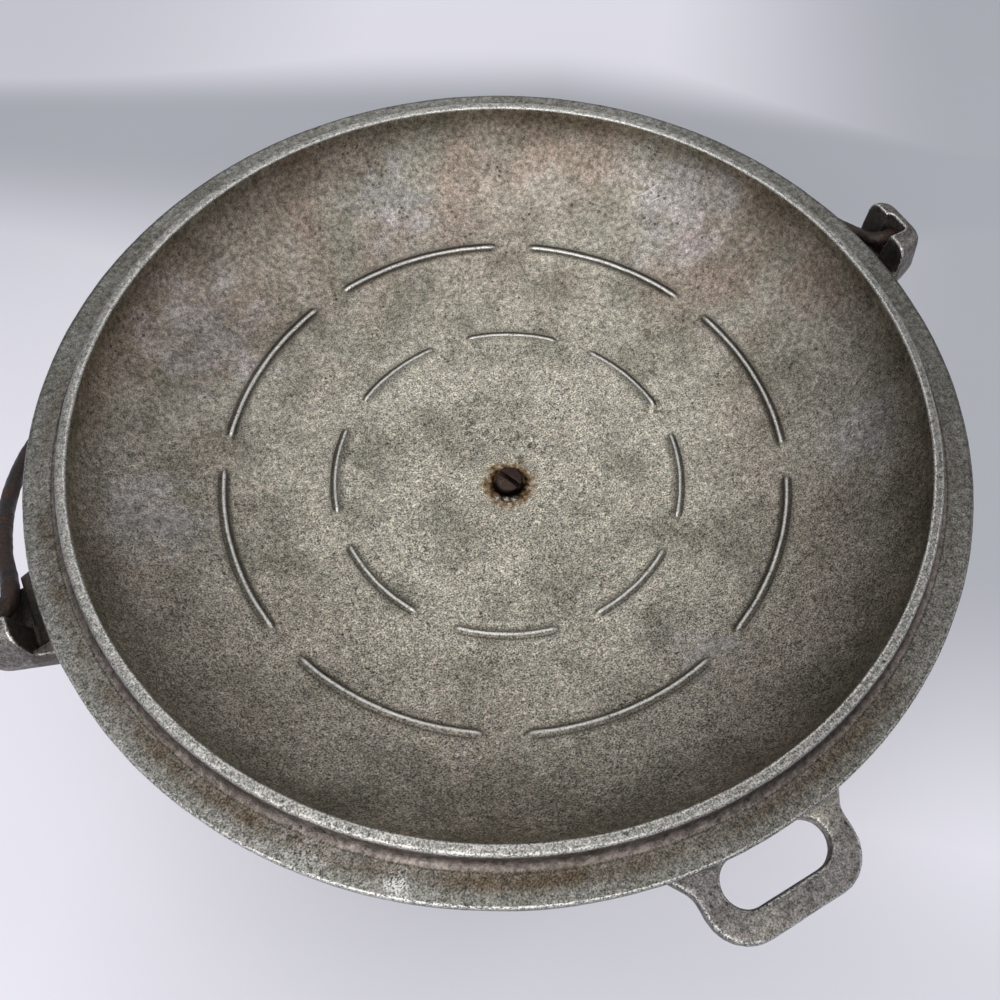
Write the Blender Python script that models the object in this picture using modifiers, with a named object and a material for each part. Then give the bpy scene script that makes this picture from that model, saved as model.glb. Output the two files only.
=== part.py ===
"""Cast aluminium dutch oven, its self-basting lid laid upside down on the mouth.

Sizes are in millimetres and are turned into metres where a mesh is made.
The origin is on the pot's axis at the flat underside of the base.
+Z is up, +X points to one bail ear and +Y to the side on which the bail hangs.
"""
import math

import bmesh
import bpy
from mathutils import Matrix, Vector

MM = 0.001

# Gap left wherever two pieces meet
CLEARANCE = 0.3
# How far a cutter runs past what it cuts
OVERRUN = 3.0
# Small step that keeps the faces of two cutters out of one plane
CUTTER_STEP = 0.1
TURN_STEPS = 72

# Pot
POT_HEIGHT = 108.0
RIM_RADIUS = 132.8
RIM_ROUND = 1.4
POT_WALL = 4.5
POT_FLOOR = 5.0
BASE_RADIUS = 116.0
BASE_CORNER = 26.0

# Lid, as it lies upside down
FLANGE_OVERHANG = 2.2
FLANGE_THICKNESS = 4.0
FLANGE_EDGE = 1.0
MOUTH_GAP = 2.5
LID_WALL = 4.0
DOME_DEPTH = 48.6
RING_LIP = 0.4
RING_WIDTH = 2.9
RING_RISE = 5.3
RING_EDGE = 0.8
RING_FOOT = 2.4
BOSS_RADIUS = 12.5
BOSS_RISE = 1.6
BOSS_EDGE = 0.8
LID_TURN = -0.8

# Drip ridges inside the dome
RIDGE_COUNT = 8
RIDGE_RADIUS = 1.45
RIDGE_SINK = 0.3
RIDGE_TIP_SHARE = 0.45
OUTER_CIRCLE = 88.4
OUTER_SPAN = 38.8
OUTER_TURN = -5.0
INNER_CIRCLE = 56.0
INNER_SPAN = 35.0
INNER_TURN = 17.3

# Knob screw and the recess for its head
SHANK_RADIUS = 2.1
SCREW_LENGTH = 18.0
HEAD_RADIUS = 4.1
HEAD_HEIGHT = 2.6
HEAD_ROUND = 1.3
DRIVE_WIDTH = 1.2
DRIVE_DEPTH = 1.3
DRIVE_TURN = -66.0
RECESS_GAP = 1.5
RECESS_DEPTH = 0.8

# Threaded insert, and the knob that is moulded round it
INSERT_WALL = 1.8
INSERT_PAST_SCREW = 0.8
INSERT_CHAMFER = 0.3
SOCKET_ROOM = 2.6
KNOB_HEIGHT = 30.0
KNOB_RADIUS = 19.0
KNOB_GRIP = 13.0
KNOB_SHOULDER = 5.0
KNOB_EDGE = 4.5
KNOB_DRAFT = 0.6
KNOB_CROWN = 3.0
KNOB_NECK_RADIUS = 10.5
KNOB_NECK_LENGTH = 10.0
KNOB_NECK_FILLET = 4.0
KNOB_COLLAR = 1.5
KNOB_COLLAR_HEIGHT = 2.5
KNOB_COLLAR_EDGE = 0.8

# Bail of round wire
WIRE_RADIUS = 2.4
BAIL_HANG = 26.0
BAIL_HINGE_UNDER_FLANGE = 5.2
BAIL_INNER_GAP = 0.6
BAIL_OUTER_GAP = 2.2
BAIL_BEND = 5.0
BAIL_END_INSET = 1.3
BAIL_END_CHAMFER = 0.5
BAIL_SPREAD = 1.3
BAIL_SPREAD_START = 10.0
BAIL_ARC_START = 30.0
BAIL_ROOM = 32.2
BAIL_CURVE_POWER = 2.2

# Ears, each a round-cornered boss on the wall with a trough for the bail's leg
EAR_SINK = 6.8
EAR_SETBACK = 6.2
EAR_TOP_OVER_FLANGE = 2.4
EAR_SHOULDER = 4.2
EAR_CORNER = 6.0
EAR_SKIRT = 12.0
EAR_BELLY = 14.0
EAR_FRONT = 11.0
EAR_FRONT_FLARE = 9.0
EAR_FRONT_DRAFT = 1.5
EAR_BACK = 11.0
EAR_LIP = 6.8
LEDGE_GAP = 0.6
LEDGE_UNDER_FLANGE = 6.0
LEDGE_FALL = 3.3
LEDGE_RAMP = 1.5
TROUGH_GAP = 4.3
TROUGH_FRONT = 11.5
FRONT_LOBE_STEP = 4.9
FRONT_LOBE_LEAN = 2.3
FRONT_LOBE_GAP = 2.3
BORE_CLEARANCE = 0.35
NOTCH_CLEARANCE = 0.35
NOTCH_DROP = 0.6
NOTCH_LENGTH = 1.9
LID_GAP_AT_EAR = 0.8

# Tipping tab with a long slot, a little to one side of the middle
TAB_OFFSET = -1.6
TAB_THICKNESS = 5.0
TAB_DROP = 1.5
TAB_EDGE = 1.2
TAB_CORNER = 11.0
TAB_END_BAR = 7.5
TAB_SIDE_BAR = 6.8
TAB_SLOT_GAP = 1.4
TAB_SLOT_WIDTH = 12.0
TAB_SLOT_LENGTH = 29.4
TAB_FLARE = 4.0
TAB_FLARE_LENGTH = 6.0

# Radii that follow from the sizes above
MOUTH_RADIUS = RIM_RADIUS - POT_WALL
FLANGE_RADIUS = RIM_RADIUS + FLANGE_OVERHANG
DOME_OUTER_RADIUS = MOUTH_RADIUS - MOUTH_GAP
DOME_RADIUS = DOME_OUTER_RADIUS - LID_WALL
RING_INNER_RADIUS = DOME_RADIUS - RING_LIP
RING_OUTER_RADIUS = RING_INNER_RADIUS + RING_WIDTH
RECESS_RADIUS = HEAD_RADIUS + RECESS_GAP
SHANK_HOLE_RADIUS = SHANK_RADIUS + CLEARANCE
INSERT_RADIUS = SHANK_HOLE_RADIUS + INSERT_WALL
BORE_RADIUS = WIRE_RADIUS + BORE_CLEARANCE
TROUGH_INNER = FLANGE_RADIUS + TROUGH_GAP
BAIL_LEG = TROUGH_INNER + BAIL_INNER_GAP + WIRE_RADIUS
BAIL_REACH = RIM_RADIUS + BAIL_ROOM
BACK_LOBE_FACE = BAIL_LEG + WIRE_RADIUS + BAIL_OUTER_GAP
FRONT_LOBE_FACE = BACK_LOBE_FACE - FRONT_LOBE_STEP
NOTCH_END = BACK_LOBE_FACE + NOTCH_LENGTH
EAR_OUTER = BACK_LOBE_FACE + EAR_LIP
EAR_ROOT = RIM_RADIUS - EAR_SINK
TAB_SLOT_INNER = RIM_RADIUS + TAB_SLOT_GAP
TAB_REACH = TAB_SLOT_INNER + TAB_SLOT_WIDTH + TAB_END_BAR
TAB_HALF_WIDTH = TAB_SLOT_LENGTH / 2 + TAB_SIDE_BAR

# Heights that follow from the sizes above
FLANGE_UNDER = POT_HEIGHT + CLEARANCE
FLANGE_TOP = FLANGE_UNDER + FLANGE_THICKNESS
RING_TOP = FLANGE_TOP + RING_RISE
DOME_BOTTOM = RING_TOP - DOME_DEPTH
BOSS_FACE = DOME_BOTTOM - LID_WALL - BOSS_RISE
RECESS_FLOOR = DOME_BOTTOM - RECESS_DEPTH
SCREW_SEAT = RECESS_FLOOR + CLEARANCE
SCREW_CROWN = SCREW_SEAT + HEAD_HEIGHT
SCREW_TIP = SCREW_SEAT - SCREW_LENGTH
INSERT_END = SCREW_TIP - INSERT_PAST_SCREW
SOCKET_END = INSERT_END - SOCKET_ROOM
KNOB_TOP = BOSS_FACE - CLEARANCE
KNOB_BOTTOM = KNOB_TOP - KNOB_HEIGHT
EAR_TOP = FLANGE_TOP + EAR_TOP_OVER_FLANGE
LEDGE_TOP = FLANGE_TOP - LEDGE_UNDER_FLANGE
LEDGE_FOOT = LEDGE_TOP - LEDGE_FALL
HINGE_HEIGHT = FLANGE_TOP - BAIL_HINGE_UNDER_FLANGE
HANG = math.radians(BAIL_HANG)
TROUGH_FLOOR = HINGE_HEIGHT - EAR_BACK * math.tan(HANG) - WIRE_RADIUS / math.cos(HANG) - CLEARANCE
TAB_TOP = POT_HEIGHT - TAB_DROP


def arc(centre, radius, start, end, count):
    """Points on an arc, angles in degrees."""
    points = []
    for i in range(count + 1):
        angle = math.radians(start + (end - start) * i / count)
        points.append((centre[0] + radius * math.cos(angle), centre[1] + radius * math.sin(angle)))
    return points


def rounded(corners, closed):
    """Outline through the corners (x, y, fillet radius, segments) with each corner rounded."""
    points = []
    last = len(corners) - 1
    for i, (x, y, radius, segments) in enumerate(corners):
        if radius == 0 or (not closed and i in (0, last)):
            points.append((x, y))
            continue
        here = Vector((x, y))
        before = (Vector(corners[i - 1][:2]) - here).normalized()
        after = (Vector(corners[(i + 1) % len(corners)][:2]) - here).normalized()
        half = before.angle(after) / 2
        middle = here + (before + after).normalized() * (radius / math.sin(half))
        first = here + before * (radius / math.tan(half)) - middle
        final = here + after * (radius / math.tan(half)) - middle
        sweep = first.angle_signed(final)
        for k in range(segments + 1):
            turned_by = Matrix.Rotation(-sweep * k / segments, 2)
            points.append(tuple(middle + turned_by @ first))
    return points


def plain(points):
    """The same points as corners without a fillet."""
    return [(x, y, 0.0, 0) for x, y in points]


def add_object(name, data, collection, material=None):
    """Link a new object and give it its material."""
    obj = bpy.data.objects.new(name, data)
    collection.objects.link(obj)
    if material is not None:
        data.materials.append(material)
    if collection.name == "cutters":
        obj.hide_render = True
        obj.display_type = "WIRE"
    return obj


def turned(name, outline, closed, collection, material=None, steps=TURN_STEPS):
    """Solid of revolution about the vertical axis; the outline's outer side runs downwards."""
    mesh = bpy.data.meshes.new(name)
    edges = [(i, i + 1) for i in range(len(outline) - 1)]
    if closed:
        edges.append((len(outline) - 1, 0))
    mesh.from_pydata([(r * MM, 0.0, z * MM) for r, z in outline], edges, [])
    obj = add_object(name, mesh, collection, material)
    screw = obj.modifiers.new("turn", "SCREW")
    screw.axis = "Z"
    screw.angle = math.tau
    screw.steps = steps
    screw.render_steps = steps
    screw.use_merge_vertices = True
    screw.merge_threshold = 0.00001
    screw.use_smooth_shade = True
    return obj


def block(name, low, high, collection):
    """Box between two corners."""
    mesh = bpy.data.meshes.new(name)
    bm = bmesh.new()
    bmesh.ops.create_cube(bm, size=1.0)
    size = [(b - a) * MM for a, b in zip(low, high)]
    centre = [(a + b) / 2 * MM for a, b in zip(low, high)]
    bmesh.ops.scale(bm, vec=size, verts=bm.verts)
    bmesh.ops.translate(bm, vec=centre, verts=bm.verts)
    bm.to_mesh(mesh)
    bm.free()
    return add_object(name, mesh, collection)


def lofted(name, rings, collection):
    """Solid through rings of points that all have the same count."""
    count = len(rings[0])
    points = [(x * MM, y * MM, z * MM) for ring in rings for x, y, z in ring]
    last = len(points) - count
    faces = [list(range(count)), list(range(last, len(points)))]
    for first in range(0, last, count):
        for i in range(count):
            after = (i + 1) % count
            faces.append((first + i, first + after, first + count + after, first + count + i))
    mesh = bpy.data.meshes.new(name)
    mesh.from_pydata(points, [], faces)
    bm = bmesh.new()
    bm.from_mesh(mesh)
    bmesh.ops.recalc_face_normals(bm, faces=bm.faces)
    bmesh.ops.triangulate(bm, faces=bm.faces)
    bm.to_mesh(mesh)
    bm.free()
    return add_object(name, mesh, collection)


def combine(target, other, operation):
    """Exact Boolean of two objects, kept as a modifier."""
    boolean = target.modifiers.new(other.name, "BOOLEAN")
    boolean.object = other
    boolean.operation = operation
    boolean.solver = "EXACT"


def mirror_over_pot(obj, pot):
    """The same feature on the other side of the pot."""
    mirror = obj.modifiers.new("other side", "MIRROR")
    mirror.use_axis = (True, False, False)
    mirror.mirror_object = pot
    mirror.use_mirror_merge = False


def baked_mesh(obj):
    """Mesh of an object with its modifiers or its bevel applied."""
    bpy.context.view_layer.update()
    graph = bpy.context.evaluated_depsgraph_get()
    return bpy.data.meshes.new_from_object(obj.evaluated_get(graph))


def mesh_of_curve(curve_obj):
    """Turn a curve object into a welded mesh object of the same name."""
    name = curve_obj.name
    collection = curve_obj.users_collection[0]
    material = curve_obj.data.materials[0] if curve_obj.data.materials else None
    mesh = baked_mesh(curve_obj)
    bm = bmesh.new()
    bm.from_mesh(mesh)
    bmesh.ops.remove_doubles(bm, verts=bm.verts, dist=0.000002)
    bmesh.ops.recalc_face_normals(bm, faces=bm.faces)
    bm.to_mesh(mesh)
    bm.free()
    mesh.materials.clear()
    matrix = curve_obj.matrix_world.copy()
    bpy.data.objects.remove(curve_obj)
    obj = add_object(name, mesh, collection, material)
    obj.matrix_world = matrix
    return obj


def tube_curve(name, radius, resolution):
    """Empty curve that gives each of its splines a round section and closed ends."""
    curve = bpy.data.curves.new(name, "CURVE")
    curve.dimensions = "3D"
    curve.fill_mode = "FULL"
    curve.bevel_depth = radius * MM
    curve.bevel_resolution = resolution
    curve.use_fill_caps = True
    return curve


def add_spline(curve, points, closed, radii=None):
    """Straight-segment spline through points in millimetres."""
    spline = curve.splines.new("POLY")
    spline.points.add(len(points) - 1)
    for i, point in enumerate(points):
        x, y, z = (tuple(point) + (0.0,))[:3]
        spline.points[i].co = (x * MM, y * MM, z * MM, 1.0)
        if radii is not None:
            spline.points[i].radius = radii[i]
    spline.use_cyclic_u = closed


def material(name, colour, metallic, roughness):
    """Principled material."""
    mat = bpy.data.materials.new(name)
    mat.use_nodes = True
    shader = mat.node_tree.nodes["Principled BSDF"]
    shader.inputs["Base Color"].default_value = (*colour, 1.0)
    shader.inputs["Metallic"].default_value = metallic
    shader.inputs["Roughness"].default_value = roughness
    mat.diffuse_color = (*colour, 1.0)
    return mat


def make_pot(parts, cutters, metal):
    """Pot casting: walls, two ears and the tipping tab."""
    taper = (RIM_RADIUS - BASE_RADIUS) / POT_HEIGHT
    blank = rounded([
        (0.0, POT_HEIGHT + OVERRUN, 0.0, 0),
        (RIM_RADIUS + taper * OVERRUN, POT_HEIGHT + OVERRUN, 0.0, 0),
        (BASE_RADIUS, 0.0, BASE_CORNER, 7),
        (0.0, 0.0, 0.0, 0),
    ], False)
    pot = turned("pot", blank, False, parts, metal)
    add_ears(pot, cutters)
    combine(pot, make_tab(cutters), "UNION")

    # The cavity also takes the ears' and the tab's metal out from under the lid's flange
    inner_base = BASE_RADIUS - POT_WALL - taper * POT_FLOOR
    flange_room = FLANGE_RADIUS + LID_GAP_AT_EAR
    round_height = POT_HEIGHT - RIM_ROUND
    cavity = [(0.0, EAR_TOP + OVERRUN), (flange_room, EAR_TOP + OVERRUN), (flange_room, round_height)]
    cavity += arc((RIM_RADIUS - RIM_ROUND, round_height), RIM_ROUND, 0.0, 90.0, 2)
    cavity += arc((MOUTH_RADIUS + RIM_ROUND, round_height), RIM_ROUND, 90.0, 180.0, 2)
    cavity = rounded(plain(cavity) + [
        (inner_base, POT_FLOOR, BASE_CORNER - POT_WALL, 7),
        (0.0, POT_FLOOR, 0.0, 0),
    ], False)
    combine(pot, turned("pot_cavity", cavity, False, cutters), "DIFFERENCE")
    cut_troughs(pot, cutters)
    return pot


def ear_outline(inset, draft):
    """Plan of an ear, measured from the hinge line and drawn in by an inset."""
    outer = EAR_OUTER - inset
    front = inset + draft - EAR_FRONT
    back = EAR_BACK - inset
    corner = max(EAR_CORNER - inset, CLEARANCE)
    return rounded([
        (EAR_ROOT, front - EAR_FRONT_FLARE, 0.0, 0),
        (outer, front, corner, 5),
        (outer, back, corner, 5),
        (EAR_ROOT, back, 0.0, 0),
    ], True)


def make_ear(cutters):
    """Ear with a rounded shoulder above and a belly drawn in to the wall below."""
    rings = []
    for i in range(5):
        angle = math.radians(90.0 * i / 4)
        height = EAR_TOP - EAR_SHOULDER * (1.0 - math.cos(angle))
        outline = ear_outline(EAR_SHOULDER * (1.0 - math.sin(angle)), EAR_FRONT_DRAFT)
        rings.append([(x, y, height) for x, y in outline])
    outline = ear_outline(0.0, 0.0)
    for i in range(6):
        angle = math.radians(81.0 * i / 5)
        height = EAR_TOP - EAR_SKIRT - EAR_BELLY * math.sin(angle)
        share = math.cos(angle)
        rings.append([(EAR_ROOT + (x - EAR_ROOT) * share, y * (1.0 + share) / 2, height) for x, y in outline])
    return lofted("ear_blank", rings, cutters)


def add_ears(pot, cutters):
    """Join an ear to the wall on each side."""
    ear = make_ear(cutters)
    ear.location.y = EAR_SETBACK * MM
    mirror_over_pot(ear, pot)
    combine(pot, ear, "UNION")


def ledge_section(y, foot):
    """Section across the room between the flange and the front lobe's leaning face."""
    inner = RIM_RADIUS + LEDGE_GAP
    above = EAR_TOP + OVERRUN
    lean = FRONT_LOBE_LEAN / (EAR_TOP - LEDGE_FOOT)
    return [
        (inner, y, LEDGE_TOP),
        (FRONT_LOBE_FACE + lean * (foot - EAR_TOP), y, foot),
        (FRONT_LOBE_FACE + lean * OVERRUN, y, above),
        (inner, y, above),
    ]


def cut_troughs(pot, cutters):
    """Cut the ledge, the bail's trough, the notch in the outer lobe and the bore for the bail's end."""
    above = EAR_TOP + OVERRUN
    back = EAR_BACK + OVERRUN
    front = -(EAR_FRONT + EAR_FRONT_FLARE + OVERRUN)
    lobe_start = -(WIRE_RADIUS + FRONT_LOBE_GAP)
    notch_half = BORE_RADIUS + NOTCH_CLEARANCE
    notch_floor = HINGE_HEIGHT - BORE_RADIUS - NOTCH_DROP
    ledge = [
        ledge_section(front, LEDGE_TOP),
        ledge_section(-TROUGH_FRONT - LEDGE_RAMP, LEDGE_TOP),
        ledge_section(-TROUGH_FRONT, LEDGE_FOOT),
        ledge_section(back, LEDGE_FOOT),
    ]
    cuts = (
        lofted("ledge", ledge, cutters),
        block("trough", (TROUGH_INNER, lobe_start, TROUGH_FLOOR),
              (BACK_LOBE_FACE, back - CUTTER_STEP, above), cutters),
        block("notch", (BAIL_LEG, lobe_start + CUTTER_STEP, notch_floor),
              (NOTCH_END, notch_half, above), cutters),
    )
    for cutter in cuts:
        cutter.location.y = EAR_SETBACK * MM
        mirror_over_pot(cutter, pot)
        combine(pot, cutter, "DIFFERENCE")

    start = NOTCH_END - OVERRUN
    length = EAR_OUTER + OVERRUN - start
    bore = turned("ear_bore", [
        (0.0, 0.0), (BORE_RADIUS, 0.0), (BORE_RADIUS, -length), (0.0, -length),
    ], False, cutters, None, 24)
    bore.location = (start * MM, EAR_SETBACK * MM, HINGE_HEIGHT * MM)
    bore.rotation_euler = (0.0, -math.pi / 2, 0.0)
    mirror_over_pot(bore, pot)
    combine(pot, bore, "DIFFERENCE")


def make_tab(cutters):
    """Flat tipping tab with rounded corners, a flared root and a long slot."""
    root = -(MOUTH_RADIUS - OVERRUN)
    flare = -(RIM_RADIUS - RIM_ROUND)
    side = TAB_HALF_WIDTH
    root_side = TAB_HALF_WIDTH + TAB_FLARE
    outline = rounded([
        (root_side, root, 0.0, 0),
        (root_side, flare, 0.0, 0),
        (side, flare - TAB_FLARE_LENGTH, TAB_FLARE_LENGTH, 3),
        (side, -TAB_REACH, TAB_CORNER, 6),
        (-side, -TAB_REACH, TAB_CORNER, 6),
        (-side, flare - TAB_FLARE_LENGTH, TAB_FLARE_LENGTH, 3),
        (-root_side, flare, 0.0, 0),
        (-root_side, root, 0.0, 0),
    ], True)
    end_radius = TAB_SLOT_WIDTH / 2
    straight = TAB_SLOT_LENGTH / 2 - end_radius
    middle = -(TAB_SLOT_INNER + end_radius)
    slot = arc((straight, middle), end_radius, 90.0, -90.0, 12)
    slot += arc((-straight, middle), end_radius, -90.0, -270.0, 12)
    curve = bpy.data.curves.new("tab_blank", "CURVE")
    curve.dimensions = "2D"
    curve.fill_mode = "BOTH"
    curve.extrude = (TAB_THICKNESS / 2 - TAB_EDGE) * MM
    curve.bevel_depth = TAB_EDGE * MM
    curve.bevel_resolution = 1
    curve.offset = -TAB_EDGE * MM
    add_spline(curve, outline, True)
    add_spline(curve, slot, True)
    obj = add_object("tab_blank", curve, cutters)
    obj.location = (TAB_OFFSET * MM, 0.0, (TAB_TOP - TAB_THICKNESS / 2) * MM)
    return mesh_of_curve(obj)


def dome_height(radius):
    """Height of the dome's inner surface at a distance from the axis."""
    return RING_TOP - DOME_DEPTH * math.sqrt(max(0.0, 1.0 - (radius / DOME_RADIUS) ** 2))


def lid_outline():
    """Section of the lid: distance from the axis and height."""
    inner = []
    steps = 13
    for i in range(1, steps):
        angle = math.radians(90.0 * i / steps)
        inner.append((DOME_RADIUS * math.sin(angle), RING_TOP - DOME_DEPTH * math.cos(angle)))
    outer = []
    outer_depth = DOME_DEPTH + LID_WALL
    first = math.asin((RING_TOP - FLANGE_UNDER) / outer_depth)
    steps = 10
    for i in range(steps + 1):
        angle = first + (math.pi / 2 - first) * i / steps
        radius = DOME_OUTER_RADIUS * math.cos(angle)
        if radius > BOSS_RADIUS + BOSS_EDGE:
            outer.append((radius, RING_TOP - outer_depth * math.sin(angle)))
    return rounded(plain([
        (SHANK_HOLE_RADIUS, RECESS_FLOOR),
        (RECESS_RADIUS, RECESS_FLOOR),
        (RECESS_RADIUS + RECESS_DEPTH / 2, dome_height(RECESS_RADIUS)),
    ] + inner) + [
        (RING_INNER_RADIUS, RING_TOP, RING_EDGE, 3),
        (RING_OUTER_RADIUS, RING_TOP, RING_EDGE, 3),
        (RING_OUTER_RADIUS + RING_LIP, FLANGE_TOP, RING_FOOT, 4),
        (FLANGE_RADIUS, FLANGE_TOP, FLANGE_EDGE, 1),
        (FLANGE_RADIUS, FLANGE_UNDER, FLANGE_EDGE, 1),
    ] + plain(outer) + [
        (BOSS_RADIUS, BOSS_FACE, BOSS_EDGE, 1),
        (SHANK_HOLE_RADIUS, BOSS_FACE, 0.0, 0),
    ], True)


def add_ridges(curve, circle, span, turn, count):
    """Ring of drip ridges that taper at both ends."""
    height = dome_height(circle) - RIDGE_SINK
    for k in range(RIDGE_COUNT):
        middle = LID_TURN + turn + 360.0 / RIDGE_COUNT * k
        points = []
        radii = []
        for i in range(count):
            share = i / (count - 1)
            angle = math.radians(middle + span * (share - 0.5))
            points.append((circle * math.cos(angle), circle * math.sin(angle), height))
            radii.append(min(1.0, RIDGE_TIP_SHARE + 4.0 * min(share, 1.0 - share)))
        add_spline(curve, points, False, radii)


def make_lid(parts, cutters, metal):
    """Lid casting: flange, locating ring, dome, knob boss and two rings of drip ridges."""
    lid = turned("lid", lid_outline(), True, parts, metal)
    curve = tube_curve("ridges", RIDGE_RADIUS, 2)
    add_ridges(curve, OUTER_CIRCLE, OUTER_SPAN, OUTER_TURN, 13)
    add_ridges(curve, INNER_CIRCLE, INNER_SPAN, INNER_TURN, 9)
    combine(lid, mesh_of_curve(add_object("ridges", curve, cutters)), "UNION")
    return lid


def make_knob(parts, black):
    """Turned knob, hanging under the upturned lid."""
    socket = INSERT_RADIUS + CLEARANCE
    collar = KNOB_NECK_RADIUS + KNOB_COLLAR
    collar_end = KNOB_TOP - KNOB_COLLAR_HEIGHT
    outline = rounded([
        (0.0, SOCKET_END, 0.0, 0),
        (socket, SOCKET_END, 0.0, 0),
        (socket, KNOB_TOP, 0.0, 0),
        (collar, KNOB_TOP, KNOB_COLLAR_EDGE, 2),
        (collar, collar_end, 0.0, 0),
        (KNOB_NECK_RADIUS, collar_end - KNOB_COLLAR, 2 * KNOB_COLLAR, 2),
        (KNOB_NECK_RADIUS, KNOB_TOP - KNOB_NECK_LENGTH, KNOB_NECK_FILLET, 3),
        (KNOB_RADIUS, KNOB_BOTTOM + KNOB_GRIP, KNOB_SHOULDER, 4),
        (KNOB_RADIUS - KNOB_DRAFT, KNOB_BOTTOM + KNOB_CROWN, KNOB_EDGE, 5),
        (0.0, KNOB_BOTTOM, 0.0, 0),
    ], False)
    return turned("knob", outline, False, parts, black, 40)


def make_insert(parts, brass):
    """Threaded sleeve in the knob, drawn without its thread."""
    top = KNOB_TOP - CLEARANCE
    outline = [
        (SHANK_HOLE_RADIUS + INSERT_CHAMFER, top),
        (INSERT_RADIUS - INSERT_CHAMFER, top),
        (INSERT_RADIUS, top - INSERT_CHAMFER),
        (INSERT_RADIUS, INSERT_END),
        (SHANK_HOLE_RADIUS, INSERT_END),
        (SHANK_HOLE_RADIUS, top - INSERT_CHAMFER),
    ]
    return turned("knob_insert", outline, True, parts, brass, 28)


def make_screw(parts, cutters, rust):
    """Slotted round-head screw that holds the knob."""
    edge = SCREW_CROWN - HEAD_HEIGHT / 4
    outline = rounded([
        (0.0, SCREW_CROWN, 0.0, 0),
        (HEAD_RADIUS / 2, SCREW_CROWN - 0.1, 0.0, 0),
        (HEAD_RADIUS, edge, HEAD_ROUND, 3),
        (HEAD_RADIUS, SCREW_SEAT, 0.0, 0),
        (SHANK_RADIUS, SCREW_SEAT, 0.0, 0),
        (SHANK_RADIUS, SCREW_TIP, 0.5, 2),
        (0.0, SCREW_TIP, 0.0, 0),
    ], False)
    screw = turned("knob_screw", outline, False, parts, rust, 28)
    reach = HEAD_RADIUS + OVERRUN
    slot = block("drive_slot", (-reach, -DRIVE_WIDTH / 2, SCREW_CROWN - DRIVE_DEPTH),
                 (reach, DRIVE_WIDTH / 2, SCREW_CROWN + OVERRUN), cutters)
    slot.rotation_euler.z = math.radians(DRIVE_TURN)
    combine(screw, slot, "DIFFERENCE")
    return screw


def bail_outline():
    """Half of the bail in its own plane: distance from the middle, distance from the hinge line."""
    end = EAR_OUTER - BAIL_END_INSET
    half_width = BAIL_LEG + BAIL_SPREAD
    points = [(end, 0.0), (end - BAIL_END_CHAMFER, 0.0)]
    points += [(x, -y) for x, y in arc((BAIL_LEG + BAIL_BEND, -BAIL_BEND), BAIL_BEND, 90.0, 180.0, 5)]
    for i in range(4):
        share = i / 4
        ease = share * share * (3.0 - 2.0 * share)
        along = BAIL_SPREAD_START + (BAIL_ARC_START - BAIL_SPREAD_START) * share
        points.append((BAIL_LEG + BAIL_SPREAD * ease, along))
    power = 2.0 / BAIL_CURVE_POWER
    steps = 17
    for i in range(steps):
        angle = math.radians(90.0 * (i / steps) ** 1.1)
        across = half_width * math.cos(angle) ** power
        along = BAIL_ARC_START + (BAIL_REACH - BAIL_ARC_START) * math.sin(angle) ** power
        points.append((across, along))
    points.append((0.0, BAIL_REACH))
    return points


def make_bail(parts, rust):
    """Round wire bail with its ends turned outwards into the ears."""
    half = bail_outline()
    path = half + [(-x, d) for x, d in reversed(half[:-1])]
    points = [(x, d * math.cos(HANG), -d * math.sin(HANG)) for x, d in path]
    radii = [1.0] * len(path)
    radii[0] = 1.0 - BAIL_END_CHAMFER / WIRE_RADIUS
    radii[-1] = radii[0]
    curve = tube_curve("bail", WIRE_RADIUS, 3)
    add_spline(curve, points, False, radii)
    obj = add_object("bail", curve, parts, rust)
    obj.location = (0.0, EAR_SETBACK * MM, HINGE_HEIGHT * MM)
    return mesh_of_curve(obj)


def bake_and_shade(obj):
    """Apply the modifiers, then shade the round faces smooth and keep the edges crisp."""
    mesh = baked_mesh(obj)
    obj.modifiers.clear()
    obj.data = mesh
    mesh.name = obj.name
    mesh.shade_smooth()
    mesh.set_sharp_from_angle(angle=math.radians(32.0))


def main():
    for obj in list(bpy.data.objects):
        bpy.data.objects.remove(obj)
    parts = bpy.data.collections.new("dutch_oven")
    cutters = bpy.data.collections.new("cutters")
    bpy.context.scene.collection.children.link(parts)
    bpy.context.scene.collection.children.link(cutters)

    pot_metal = material("pot_cast_aluminium", (0.52, 0.51, 0.50), 1.0, 0.45)
    lid_metal = material("lid_cast_aluminium", (0.46, 0.45, 0.41), 1.0, 0.5)
    black = material("knob_black", (0.03, 0.03, 0.03), 0.0, 0.35)
    brass = material("insert_brass", (0.60, 0.45, 0.20), 1.0, 0.35)
    screw_steel = material("screw_rusty_steel", (0.12, 0.09, 0.08), 1.0, 0.6)
    wire_steel = material("bail_rusty_steel", (0.16, 0.12, 0.10), 1.0, 0.6)

    make_pot(parts, cutters, pot_metal)
    make_lid(parts, cutters, lid_metal)
    make_knob(parts, black)
    make_insert(parts, brass)
    make_screw(parts, cutters, screw_steel)
    make_bail(parts, wire_steel)
    for obj in parts.objects:
        bake_and_shade(obj)


main()
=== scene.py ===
"""Looks of a cast aluminium dutch oven whose domed lid is laid upside down on the mouth.

Everything is in metres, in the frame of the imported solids: +Z up along the pot's axis,
+X to one bail ear and -Y to the tipping tab. Each operator makes one piece or a group of
like pieces, and main calls them in order.
"""

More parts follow.
